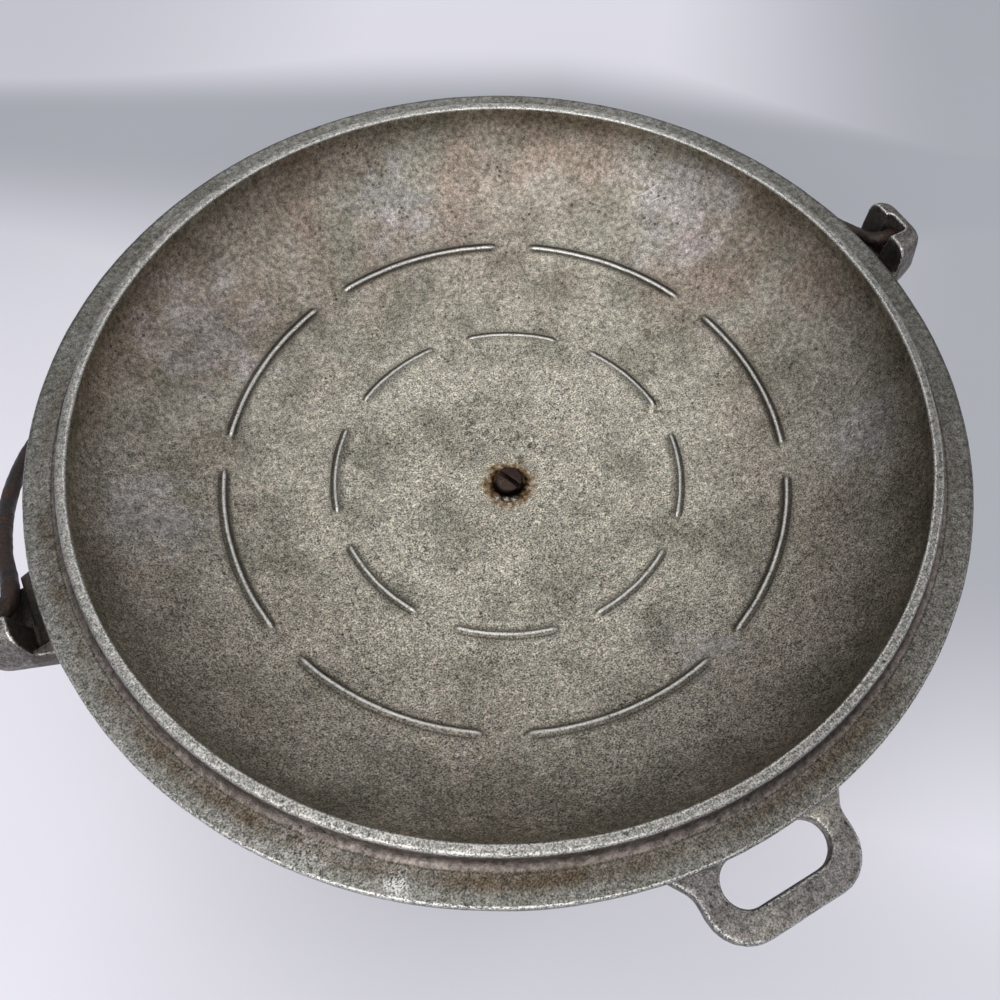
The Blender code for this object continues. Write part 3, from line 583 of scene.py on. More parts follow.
def cast_surface(tree, base, grit, calm, edge_wear):
    """Colour, roughness and bump of cast aluminium over a base colour.

    Sand leaves grains of about the size of the grit in millimetres: their tops are rubbed pale, their
    pits hold dark oxide, and each has a faint tint of its own. Calm takes the grain's contrast away.
    Edges rub bright; corners and the bands beside the ridges darken with grime and painted shade.
    """
    tones = bpy.context.scene.dutch_oven_finish
    place = add(tree, "ShaderNodeTexCoord", out=3)
    grain, patches, blotches = (
        add(tree, "ShaderNodeTexNoise",
            {"Vector": place, "Scale": 1 / (size * MM), "Detail": detail, "Roughness": roughness})
        for size, detail, roughness in ((grit, 2.0, 0.75), (9.0, 4.0, 0.5), (1.7, 2.0, 0.6)))
    pits = add(tree, "ShaderNodeTexVoronoi", {"Vector": place, "Scale": 1 / (2.1 * MM), "Randomness": 1.0})
    bulge, ridge = (add(tree, "ShaderNodeAttribute", out=2, attribute_name=name)
                    for name in ("curvature", "ridge"))
    # Soft masks: a value, where it starts to count, where it counts in full, and how much then
    dots, rare, corner, worn = (
        add(tree, "ShaderNodeMapRange", {"Value": value, "From Min": none, "From Max": full, "To Max": most},
            interpolation_type="SMOOTHSTEP")
        for value, none, full, most in ((pits, 0.30, 0.16, 1.0), (patches, 0.5, 0.66, 0.7),
                                        (bulge, -0.22, -0.7, 0.85), (bulge, *edge_wear, 1.0)))
    dots = add(tree, "ShaderNodeMath", {0: dots, 1: rare}, operation="MULTIPLY")
    # The crests of the ridges are rubbed most, down to a few pits
    scuffed = add(tree, "ShaderNodeMath", {0: ridge, 1: 0.09, 2: grain}, operation="MULTIPLY_ADD")
    # Even ramps: a value, its limits, and what they become
    speckle, coarse, mottle, scuffed, ridge_grime_and_shade, rough = (
        add(tree, "ShaderNodeMapRange",
            {"Value": value, "From Min": start, "From Max": end, "To Min": low, "To Max": high})
        for value, start, end, low, high in (
            (grain, 0.36, 0.66, 0.03, 2.2), (blotches, 0.3, 0.7, 0.75, 1.25),
            (blotches, 0.3, 0.7, 0.68, 1.32), (scuffed, 0.43, 0.55, 0.1, 1.0),
            (blotches, 0.35, 0.6, 0.35, 0.75), (patches, 0.3, 0.7, 0.42, 0.58)))

    speckle = add(tree, "ShaderNodeMix", {FACTOR: calm, 2: speckle, 3: coarse}, data_type="FLOAT")
    speckle = add(tree, "ShaderNodeMath", {0: speckle, 1: mottle}, operation="MULTIPLY")
    tint = add(tree, "ShaderNodeVectorMath", {0: grain.node.outputs["Color"], 1: [0.4] * 3, 2: [0.8] * 3},
               operation="MULTIPLY_ADD")
    base = add(tree, "ShaderNodeVectorMath", {0: base, 1: tint}, operation="MULTIPLY")
    base = add(tree, "ShaderNodeVectorMath", {0: base, "Scale": speckle}, operation="SCALE")
    worn = add(tree, "ShaderNodeMath", {0: worn, 1: scuffed}, operation="MULTIPLY")
    # Grime and painted shade in a band beside the ridges
    ridge_grime_and_shade = add(tree, "ShaderNodeMath", {0: ridge, 1: ridge_grime_and_shade}, operation="MULTIPLY")
    colour = coats(tree, base, ((dots, tones.pit), (ridge_grime_and_shade, tones.grime_and_shade), (corner, tones.grime_and_shade),
                                (worn, tones.bare)))
    rough = add(tree, "ShaderNodeMix", {FACTOR: worn, 2: rough, 3: 0.32}, data_type="FLOAT")
    relief = add(tree, "ShaderNodeMath", {0: grain, 1: dots}, operation="SUBTRACT")
    normal = add(tree, "ShaderNodeBump", {"Height": relief, "Distance": 0.35 * grit * MM, "Strength": 1.0})
    return {"colour": colour, "rough": rough, "normal": normal, "grain": grain, "patches": patches}


def lid_aluminium():
    """Seasoned sand-cast aluminium: pale olive grey in the middle, browner and darker up the wall.

    The ring is scuffed to pale metal full of fine pits, and grime is baked on beside it; some shade is
    painted.
    """
    tones = bpy.context.scene.dutch_oven_finish
    sizes = bpy.context.scene.dutch_oven_lid
    ring_inner = sizes.dome_radius - sizes.ring_lip
    ring_outer = ring_inner + sizes.ring_width
    material, tree, shader = new_material("seasoned_cast_aluminium")
    place = add(tree, "ShaderNodeTexCoord", out=3)
    flat = add(tree, "ShaderNodeVectorMath", {0: place, 1: (1.0, 1.0, 0.0)}, operation="MULTIPLY")
    radius = add(tree, "ShaderNodeVectorMath", {0: flat}, out=1, operation="LENGTH")
    height = add(tree, "ShaderNodeSeparateXYZ", {0: place}, out=2)
    # Noises by their size in millimetres
    clouds, film, broken, crumbs = (
        add(tree, "ShaderNodeTexNoise",
            {"Vector": place, "Scale": 1 / (size * MM), "Detail": detail, "Distortion": distortion})
        for size, detail, distortion in ((40, 4.0, 0.5), (17, 5.0, 0.0), (2.4, 3.0, 0.0), (1.6, 4.0, 0.0)))
    # How far a point lies towards the back, the near left and the side that is given painted shade
    behind, near, shaded_side = (
        add(tree, "ShaderNodeVectorMath", {0: place, 1: (x, y, 0.0)}, out=1, operation="DOT_PRODUCT")
        for x, y in ((0.35, 0.94), (-0.68, -0.73), (0.53, -0.848)))
    # Even ramps: a value, its limits, and what they become
    behind, near, shaded_side, uneven, edge, calm, shaded_edge, ragged = (
        add(tree, "ShaderNodeMapRange",
            {"Value": value, "From Min": start, "From Max": end, "To Min": low, "To Max": high})
        for value, start, end, low, high in (
            (behind, -60 * MM, 60 * MM, 0.25, 1.0), (near, 0.0, 100 * MM, 0.15, 1.0),
            (shaded_side, 50 * MM, 110 * MM, 0.0, 0.36), (film, 0.35, 0.6, 0.35, 1.0),
            (film, 0.42, 0.64, 0.0, 0.4),
            (radius, 0.2 * ring_inner, 0.9 * ring_inner, 0.1, 0.65),
            (radius, FLANGE_RADIUS - 1.6 * MM, FLANGE_RADIUS - 0.6 * MM, 0.0, 0.85),
            (crumbs, 0.2, 0.8, -2.8 * MM, 2.8 * MM)))
    # Rust has run out of the screw's hole, further in some directions than in others
    spread = add(tree, "ShaderNodeVectorMath", {0: flat, 1: [c * MM for c in RUST_WASH]}, out=1,
                 operation="DISTANCE")
    spread = add(tree, "ShaderNodeMath", {0: spread, 1: ragged}, operation="ADD")
    # Soft masks: a value, where it starts to count, where it counts in full, and how much then
    wall, brown, dull, lip, broken, top, halo, core = (
        add(tree, "ShaderNodeMapRange", {"Value": value, "From Min": none, "From Max": full, "To Max": most},
            interpolation_type="SMOOTHSTEP")
        for value, none, full, most in (
            (radius, 0.4 * ring_inner, 0.93 * ring_inner, 1.0), (clouds, 0.38, 0.62, 0.8),
            (film, 0.5, 0.72, 0.14), (radius, 0.93 * ring_inner, 0.985 * ring_inner, 0.06),
            (broken, 0.46, 0.6, 1.0), (height, RING_TOP - 1.1 * MM, RING_TOP - 0.5 * MM, 1.0),
            (spread, 10.2 * MM, 6.4 * MM, 0.92), (spread, 8.6 * MM, 4.4 * MM, 1.0)))
    # Bands beside the ring: start, end, softness and strength
    flank, foot, stain = (
        band(tree, radius, ring_outer + start * MM, ring_outer + end * MM, soft * MM, most)
        for start, end, soft, most in ((-0.4, 2.3, 0.5, 0.8), (2.4, 2.8, 0.3, 0.8), (2.4, 6.5, 1.8, 0.9)))

    # Seasoning thickens up the dome's wall and is rubbed off in patches, which also carry a painted sheen
    brown = joined(tree, "MULTIPLY", (brown, wall, behind))
    rubbed_sheen = blots(tree, place, RUBBED_SHEEN_PATCHES, 0.5)
    spots = add(tree, "ShaderNodeMath", {0: blots(tree, place, DARK_SPOTS, 0.9), 1: broken},
                operation="MULTIPLY")
    # The lip coat is a faint dark band just under the ring: grime and painted shade
    base = coats(tree, opaque(tones.bowl), ((wall, tones.bowl_wall), (brown, tones.bowl_brown),
                                            (dull, tones.smudge), (rubbed_sheen, tones.sheen),
                                            (spots, tones.smudge), (lip, tones.grime_and_shade)))
    # The flange, the ring's outer side and its top, and painted shade over one side of the lid
    outside = add(tree, "ShaderNodeMath", {0: radius, 1: ring_inner + 0.3 * MM}, operation="GREATER_THAN")
    stain = joined(tree, "MULTIPLY", (stain, near, uneven))
    base = coats(tree, base, ((outside, tones.flange), (edge, tones.smudge), (flank, tones.flank),
                              (foot, tones.grime_and_shade), (stain, tones.stain), (top, tones.ring),
                              (shaded_side, tones.grime_and_shade)))

    # The grain is faint up the far wall, on the smooth flank and in the rubbed patches
    calm = add(tree, "ShaderNodeMath", {0: calm, 1: behind}, operation="MULTIPLY")
    plain_metal = add(tree, "ShaderNodeMath", {0: behind, 1: 0.35, 2: 0.3}, operation="MULTIPLY_ADD")
    plain_metal = add(tree, "ShaderNodeMath", {0: outside, 1: plain_metal}, operation="MULTIPLY")
    calm = joined(tree, "MAXIMUM", (calm, rubbed_sheen, flank, plain_metal))
    cast = cast_surface(tree, base, 0.48, calm, (0.2, 0.6))

    # Bright marks, and painted shade on the far part of the flange's edge
    lines = scratches(tree, place, SCRATCHES)
    flecks = add(tree, "ShaderNodeMapRange", {"Value": cast["grain"], "From Min": 0.42, "From Max": 0.54})
    white, pale = blots(tree, place, WHITE_SPOTS, 1.0), blots(tree, place, (PALE_SPOT,), 0.4)
    marks = add(tree, "ShaderNodeMath", {0: white, 1: pale}, operation="MAXIMUM")
    flecks = add(tree, "ShaderNodeMath", {0: flecks, 1: marks}, operation="MULTIPLY")
    far = add(tree, "ShaderNodeMath", {0: 1.0, 1: near}, operation="SUBTRACT")
    shaded_edge = add(tree, "ShaderNodeMath", {0: shaded_edge, 1: far}, operation="MULTIPLY")
    colour = coats(tree, cast["colour"], ((shaded_edge, tones.grime_and_shade), (lines, tones.bare), (halo, tones.wash),
                                          (core, tones.char), (flecks, tones.bare)))
    # Bare metal away from the rust, and no haze over the black dirt in the recess
    metal = add(tree, "ShaderNodeMath", {0: 1.0, 1: halo}, operation="SUBTRACT")
    metal = add(tree, "ShaderNodeMath", {0: metal, 1: core}, operation="MAXIMUM")
    feed(tree, shader, {"Base Color": colour, "Metallic": metal, "Roughness": cast["rough"],
                        "Normal": cast["normal"]})
    return material


def pot_aluminium():
    """Dull sand-cast aluminium: lavender grey, with rubbed edges, troughs with grime and painted shade, and
    soot low down.
    """
    tones = bpy.context.scene.dutch_oven_finish
    sizes = bpy.context.scene.dutch_oven_pot
    material, tree, shader = new_material("worn_cast_aluminium")
    place = add(tree, "ShaderNodeTexCoord", out=3)
    axes = add(tree, "ShaderNodeSeparateXYZ", {0: place}).node.outputs
    clouds = add(tree, "ShaderNodeTexNoise", {"Vector": place, "Scale": 1 / (26 * MM), "Detail": 5.0})
    uneven = add(tree, "ShaderNodeMath", {0: clouds, 1: 34 * MM}, operation="MULTIPLY")
    reach = add(tree, "ShaderNodeMath", {0: axes["Z"], 1: uneven}, operation="SUBTRACT")
    film, soot = (
        add(tree, "ShaderNodeMapRange", {"Value": value, "From Min": none, "From Max": full, "To Max": most},
            interpolation_type="SMOOTHSTEP")
        for value, none, full, most in ((clouds, 0.42, 0.66, 0.55), (reach, 22 * MM, -18 * MM, 0.75)))
    base = coats(tree, opaque(tones.pot), ((film, tones.bowl_wall), (soot, tones.grime_and_shade)))
    cast = cast_surface(tree, base, 0.5, 0.5, (0.2, 0.55))

    # Grease and rust collect between an ear's lobes and the lid, and shade is painted in the troughs there
    across = add(tree, "ShaderNodeMath", {0: axes["X"]}, operation="ABSOLUTE")
    face, over, blotchy = (
        add(tree, "ShaderNodeMapRange",
            {"Value": value, "From Min": start, "From Max": end, "To Min": low, "To Max": high})
        for value, start, end, low, high in (
            (axes["Y"], sizes.ear_step - 0.3 * MM, sizes.ear_step + 0.3 * MM, sizes.ear_front,
             sizes.ear_back),
            (axes["Z"], sizes.ear_foot - MM, sizes.ear_foot + MM, 0.0, 1.0),
            (cast["patches"], 0.4, 0.6, 0.0, 0.6)))
    depth = add(tree, "ShaderNodeMath", {0: face, 1: across}, operation="SUBTRACT")
    inner = band(tree, depth, 0.0, sizes.ear_back - sizes.ear_inner, 0.5 * MM, 0.6)
    inner = add(tree, "ShaderNodeMath", {0: inner, 1: over}, operation="MULTIPLY")
    blotchy = add(tree, "ShaderNodeMath", {0: inner, 1: blotchy}, operation="MULTIPLY")
    colour = coats(tree, cast["colour"], ((inner, tones.grime_and_shade), (blotchy, tones.stain)))
    feed(tree, shader, {"Base Color": colour, "Metallic": 1.0, "Roughness": cast["rough"],
                        "Normal": cast["normal"]})
    return material


def rusty_steel(name, skin, grain_size, shine, marks=()):
    """Plain steel with a dark skin: brown rust in patches, rubbed dark grey between, black corners.

    Marks are further coats, each a function that makes its mask and the colour over it.
    """
    tones = bpy.context.scene.dutch_oven_finish
    material, tree, shader = new_material(name)
    place = add(tree, "ShaderNodeTexCoord", out=3)
    scale, patches = (
        add(tree, "ShaderNodeTexNoise",
            {"Vector": place, "Scale": 1 / (size * MM), "Detail": detail, "Roughness": roughness})
        for size, detail, roughness in ((grain_size, 4.0, 0.65), (9, 3.0, 0.5)))
    bulge = add(tree, "ShaderNodeAttribute", out=2, attribute_name="curvature")
    rust = add(tree, "ShaderNodeMapRange", {"Value": patches, "From Min": 0.4, "From Max": 0.62},
               interpolation_type="SMOOTHSTEP")
    fresh, worn, corner, metal, rough = (
        add(tree, "ShaderNodeMapRange",
            {"Value": value, "From Min": start, "From Max": end, "To Min": low, "To Max": high})
        for value, start, end, low, high in (
            (scale, 0.52, 0.66, 0.0, 0.22), (scale, 0.5, 0.36, 0.0, 0.7), (bulge, -0.1, -0.7, 0.0, 1.0),
            (rust, 0.0, 1.0, 0.9, 0.3), (rust, 0.0, 1.0, shine, 0.6)))
    fresh = add(tree, "ShaderNodeMath", {0: fresh, 1: rust}, operation="MULTIPLY")
    colour = coats(tree, opaque(skin), ((rust, tones.rust_dark), (worn, tones.pit), (fresh, tones.rust),
                                        (corner, tones.char)))
    colour = coats(tree, colour, [(mask(tree, place), over) for mask, over in marks])
    normal = add(tree, "ShaderNodeBump", {"Height": scale, "Distance": 0.4 * MM, "Strength": 1.0})
    feed(tree, shader, {"Base Color": colour, "Metallic": metal, "Roughness": rough, "Normal": normal})
    return material


def slot_dirt(tree, place):
    """Mask of the dirt in the slot of the screw's head and down its sides."""
    height = add(tree, "ShaderNodeSeparateXYZ", {0: place}, out=2)
    return add(tree, "ShaderNodeMapRange",
               {"Value": height, "From Min": SCREW_HIGH.z - 0.7 * MM, "From Max": SCREW_HIGH.z - 1.0 * MM},
               interpolation_type="SMOOTHSTEP")


def head_glint(tree, place):
    """Mask of a painted glint, a highlight, on the screw's head."""
    return blots(tree, place, (HEAD_GLINT,), 0.7)


def moulded_black():
    """Moulded phenolic: near black, half gloss with a faint haze of fine scratches."""
    tones = bpy.context.scene.dutch_oven_finish
    material, tree, shader = new_material("moulded_phenolic")
    place = add(tree, "ShaderNodeTexCoord", out=3)
    haze = add(tree, "ShaderNodeTexNoise", {"Vector": place, "Scale": 1 / (6 * MM), "Detail": 5.0})
    dull = add(tree, "ShaderNodeMapRange",
               {"Value": haze, "From Min": 0.3, "From Max": 0.7, "To Min": 0.28, "To Max": 0.5})
    pale = add(tree, "ShaderNodeMapRange", {"Value": haze, "From Min": 0.45, "From Max": 0.8, "To Max": 0.2})
    colour = coats(tree, opaque(tones.black), ((pale, tones.grime_and_shade),))
    fine = add(tree, "ShaderNodeTexNoise", {"Vector": place, "Scale": 1 / (0.8 * MM), "Detail": 2.0})
    normal = add(tree, "ShaderNodeBump", {"Height": fine, "Distance": 0.04 * MM})
    feed(tree, shader, {"Base Color": colour, "Roughness": dull, "Normal": normal, "IOR": 1.55})
    return material


def turned_brass():
    """Turned brass: yellow, with fine rings from the lathe and dull spots."""
    tones = bpy.context.scene.dutch_oven_finish
    material, tree, shader = new_material("turned_brass")
    place = add(tree, "ShaderNodeTexCoord", out=3)
    tarnish = add(tree, "ShaderNodeTexNoise", {"Vector": place, "Scale": 1 / (3 * MM), "Detail": 3.0})
    dull = add(tree, "ShaderNodeMapRange",
               {"Value": tarnish, "From Min": 0.35, "From Max": 0.7, "To Max": 0.5})
    colour = coats(tree, opaque(tones.brass), ((dull, tones.rust_dark),))
    rings = add(tree, "ShaderNodeTexWave", {"Vector": place, "Scale": 1 / (4 * MM), "Distortion": 0.4}, out=1,
                bands_direction="Z")
    normal = add(tree, "ShaderNodeBump", {"Height": rings, "Distance": 0.05 * MM, "Strength": 0.5})
    feed(tree, shader, {"Base Color": colour, "Metallic": 1.0, "Roughness": 0.34, "Normal": normal})
    return material


def lid_outline(sizes):
    """Section of the lid, with close rings where the drip ridges will rise."""
    flange_top = RING_TOP - sizes.ring_rise
    flange_under = flange_top - sizes.flange_thickness
    ring_inner = sizes.dome_radius - sizes.ring_lip
    ring_outer = ring_inner + sizes.ring_width
    bottom = RING_TOP - sizes.dome_depth
    recess_floor = bottom - sizes.recess_depth
    outer_radius = sizes.dome_radius + sizes.wall
    outer_depth = sizes.dome_depth + sizes.wall
    fine, coarse, outer_steps = 0.25 * MM, 1.4 * MM, 24

    inner = []
    angle = math.asin((sizes.recess_radius + sizes.recess_depth / 2) / sizes.dome_radius)
    while sizes.dome_radius * math.sin(angle) < ring_inner:
        radius = sizes.dome_radius * math.sin(angle)
        inner.append((radius, RING_TOP - sizes.dome_depth * math.cos(angle)))
        off_ridge = min(abs(radius - sizes.outer_circle), abs(radius - sizes.inner_circle))
        step = fine if off_ridge < 1.2 * sizes.ridge_half_width else coarse
        angle += step / math.hypot(sizes.dome_radius * math.cos(angle), sizes.dome_depth * math.sin(angle))
    first = math.asin((RING_TOP - flange_under) / outer_depth)
    outer = []
    for i in range(outer_steps + 1):
        angle = first + (math.pi / 2 - first) * i / outer_steps
        radius = outer_radius * math.cos(angle)
        if radius > sizes.boss_radius + sizes.boss_edge:
            outer.append((radius, RING_TOP - outer_depth * math.sin(angle)))
    shaded_edge = rounded([
        (*inner[-1], 0.0, 0),
        (ring_inner, RING_TOP, sizes.ring_edge, 5),
        (ring_outer, RING_TOP, sizes.ring_shoulder, 6),
        (ring_outer + sizes.ring_lip, flange_top, sizes.ring_foot, 8),
        (FLANGE_RADIUS, flange_top, sizes.flange_edge, 5),
        (FLANGE_RADIUS, flange_under, sizes.flange_edge, 5),
        (*outer[0], 0.0, 0),
    ])
    boss = rounded([
        (*outer[-1], 0.0, 0),
        (sizes.boss_radius, LID_LOW.z, sizes.boss_edge, 4),
        (sizes.hole_radius, LID_LOW.z, 0.0, 0),
        (sizes.hole_radius, recess_floor, 0.0, 0),
        (sizes.recess_radius, recess_floor, 0.3 * MM, 3),
        inner[0] + (0.0, 0),
    ])
    return inner[:-1] + divided(shaded_edge, 1.0 * MM)[:-1] + outer[:-1] + divided(boss, 1.2 * MM)[:-1]


class OVEN_OT_lid(bpy.types.Operator):
    """Make the lid casting with its two circles of drip ridges"""
    bl_idname = "dutch_oven.lid"
    bl_label = "Lid"

    def execute(self, context):
        sizes = context.scene.dutch_oven_lid
        metal = lid_aluminium()
        mesh = turned("lid_casting", lid_outline(sizes), sizes.around, closed=True)
        obj = new_object("lid_casting", mesh)
        ridges = ridge_tree()
        for circle, span, turn in ((sizes.outer_circle, sizes.outer_span, sizes.outer_turn),
                                   (sizes.inner_circle, sizes.inner_span, sizes.inner_turn)):
            run_tree(obj, ridges, count=float(sizes.ridge_count), circle=circle, span=span, turn=turn,
                     height=sizes.ridge_height, half_width=sizes.ridge_half_width, taper=sizes.ridge_taper,
                     material=metal)
        run_tree(obj, cast_skin_tree(), wave_size=16 * MM, wave_depth=0.16 * MM, grain_size=3.2 * MM,
                 grain_depth=0.09 * MM, material=metal)
        mark_curvature(bake(obj))
        finish_piece(obj, "lid_body", "lid")
        return {"FINISHED"}


def pot_outline(sizes):
    """Section of the pot's wall and floor, from the axis outside to the axis inside."""
    taper = (sizes.rim_radius - sizes.base_radius) / sizes.height
    mouth = sizes.rim_radius - sizes.wall
    corners = [
        (0.0, 0.0, 0.0, 0),
        (sizes.base_radius, 0.0, sizes.base_corner, 22),
        (sizes.rim_radius, sizes.height, sizes.rim_round, 5),
        (mouth, sizes.height, sizes.rim_round, 5),
        (sizes.base_radius - sizes.wall - taper * sizes.floor, sizes.floor,
         sizes.base_corner - sizes.wall, 18),
        (0.0, sizes.floor, 0.0, 0),
    ]
    return divided(rounded(corners), 3.0 * MM)


def ear_regions(sizes):
    """Boxes that hold what stands out from the pot's wall: two ears and the tab."""
    margin = 8 * MM
    wall = sizes.rim_radius - sizes.wall
    for name, side in (("pot_ear_right", 1), ("pot_ear_left", -1)):
        x_near, x_far = side * (wall - margin), side * (POT_HIGH.x + margin)
        yield (name, (min(x_near, x_far), -26 * MM, 80 * MM),
               (max(x_near, x_far), 30 * MM, POT_HIGH.z + margin))
    yield ("pot_tipping_tab", (-34 * MM, POT_LOW.y - margin, 94 * MM),
           (31 * MM, -(wall - 2 * margin), 108.5 * MM))


def box_cutter(low, high):
    """Hidden box between two corners."""
    mesh = bpy.data.meshes.new("cutter")
    bm = bmesh.new()
    bmesh.ops.create_cube(bm, size=1.0)
    bmesh.ops.scale(bm, vec=[b - a for a, b in zip(low, high)], verts=bm.verts)
    bmesh.ops.translate(bm, vec=[(a + b) / 2 for a, b in zip(low, high)], verts=bm.verts)
    bm.to_mesh(mesh)
    bm.free()
    return new_object("cutter", mesh)


class OVEN_OT_pot(bpy.types.Operator):
    """Make the pot's wall, and the softened skins of its ears and tab"""
    bl_idname = "dutch_oven.pot"
    bl_label = "Pot"

    def execute(self, context):
        sizes = context.scene.dutch_oven_pot
        metal = pot_aluminium()
        skin = cast_skin_tree()
        wall = new_object("pot_wall", turned("pot_wall", pot_outline(sizes), sizes.around))
        pieces = [wall]

        # The part of the wall behind each skin is cut away, a little under the wall's face
        taper = (sizes.rim_radius - sizes.base_radius) / sizes.height
        inside = 1.6 * MM
        top = sizes.height + 20 * MM
        section = ((0.0, 0.0), (sizes.base_radius - inside, 0.0),
                   (sizes.base_radius + taper * top - inside, top), (0.0, top))
        core = new_object("cutter", turned("cutter", section, CUTTER_AROUND))
        for name, low, high in ear_regions(sizes):
            cast = new_object(name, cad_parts["pot"].data.copy())
            bm = bmesh.new()
            bm.from_mesh(cast.data)
            bmesh.ops.remove_doubles(bm, verts=bm.verts, dist=0.001 * MM)
            bm.to_mesh(cast.data)
            bm.free()
            cast.data.materials.clear()
            region = box_cutter(low, high)
            for cutter, operation in ((region, "INTERSECT"), (core, "DIFFERENCE")):
                boolean = cast.modifiers.new(operation, "BOOLEAN")
                boolean.object = cutter
                boolean.operation = operation
            remesh = cast.modifiers.new("skin", "REMESH")
            remesh.mode = "VOXEL"
            remesh.voxel_size = sizes.skin
            smooth = cast.modifiers.new("softened", "SMOOTH")
            smooth.factor = 0.5
            smooth.iterations = sizes.softening
            bake(cast)
            bpy.data.objects.remove(region)
            pieces.append(cast)
        bpy.data.objects.remove(core)
        for piece in pieces:
            run_tree(piece, skin, wave_size=14 * MM, wave_depth=0.14 * MM, grain_size=2.6 * MM,
                     grain_depth=0.05 * MM, material=metal)
            mark_curvature(bake(piece))
            finish_piece(piece, "pot_body", "pot")
        return {"FINISHED"}


def bail_path(sizes):
    """Centreline of the bail in its own plane: distance from the middle and from the hinge line."""
    bend_steps, leg_steps, bow_steps = 12, 12, 90
    half = [(BAIL_REACH, 0.0), (sizes.leg + sizes.bend, 0.0)]
    for i in range(1, bend_steps + 1):
        angle = math.pi / 2 * i / bend_steps
        half.append((sizes.leg + sizes.bend * (1 - math.sin(angle)), sizes.bend * (1 - math.cos(angle))))
    for i in range(leg_steps):
        share = i / leg_steps
        ease = share * share * (3 - 2 * share)
        half.append((sizes.leg + sizes.spread * ease,
                     sizes.spread_start + (sizes.bow_start - sizes.spread_start) * share))
    power = 2 / sizes.power
    for i in range(bow_steps):
        angle = math.pi / 2 * i / bow_steps
        half.append(((sizes.leg + sizes.spread) * math.cos(angle) ** power,
                     sizes.bow_start + (sizes.reach - sizes.bow_start) * math.sin(angle) ** power))
    half.append((0.0, sizes.reach))
    half = divided(half, 1.5 * MM)
    return half + [(-x, d) for x, d in reversed(half[:-1])]


class OVEN_OT_bail(bpy.types.Operator):
    """Make the rusty wire bail"""
    bl_idname = "dutch_oven.bail"
    bl_label = "Bail"

    def execute(self, context):
        sizes = context.scene.dutch_oven_bail
        hinge = RING_TOP - sizes.hinge_under_ring
        points = [(x, sizes.hinge_setback + d * math.cos(sizes.hang), hinge - d * math.sin(sizes.hang))
                  for x, d in bail_path(sizes)]
        mesh = bpy.data.meshes.new("bail_wire")
        mesh.from_pydata(points, [(i, i + 1) for i in range(len(points) - 1)], [])
        obj = new_object("bail_wire", mesh)
        steel = rusty_steel("rusty_steel_wire", context.scene.dutch_oven_finish.steel, 1.1, 0.38)
        run_tree(obj, wire_tree(), wire_radius=sizes.wire_radius, end_taper=0.6 * MM, pit_size=3 * MM,
                 pit_depth=0.14 * MM, material=steel)
        bake(obj)
        finish_piece(obj, "bail_body", "bail")
        return {"FINISHED"}


class OVEN_OT_knob(bpy.types.Operator):
    """Make the moulded knob and dress the insert in it"""
    bl_idname = "dutch_oven.knob"
    bl_label = "Knob"

    def execute(self, context):
        sizes = context.scene.dutch_oven_knob
        top, bottom, radius = KNOB_HIGH.z, KNOB_LOW.z, KNOB_HIGH.x
        collar = sizes.neck_radius + sizes.collar
        collar_end = top - sizes.collar_height
        outline = rounded([
            (0.0, top - sizes.socket_depth, 0.0, 0),
            (sizes.socket_radius, top - sizes.socket_depth, 0.0, 0),
            (sizes.socket_radius, top, 0.0, 0),
            (collar, top, 0.8 * MM, 4),
            (collar, collar_end, 0.5 * MM, 3),
            (sizes.neck_radius, collar_end - sizes.collar, 2 * sizes.collar, 6),
            (sizes.neck_radius, top - sizes.neck_length, 4 * MM, 8),
            (radius, bottom + sizes.grip, 5 * MM, 10),
            (radius - 0.6 * MM, bottom + 3 * MM, 4.5 * MM, 10),
            (0.0, bottom, 0.0, 0),
        ])
        mesh = turned("lid_knob", divided(outline, 1.2 * MM), KNOB_AROUND)
        obj = new_object("lid_knob", mesh, moulded_black())
        obj.data.set_sharp_from_angle(angle=math.radians(40))
        finish_piece(obj, "lid_body", "knob")
        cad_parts["knob_insert"].material_slots[0].material = turned_brass()
        return {"FINISHED"}


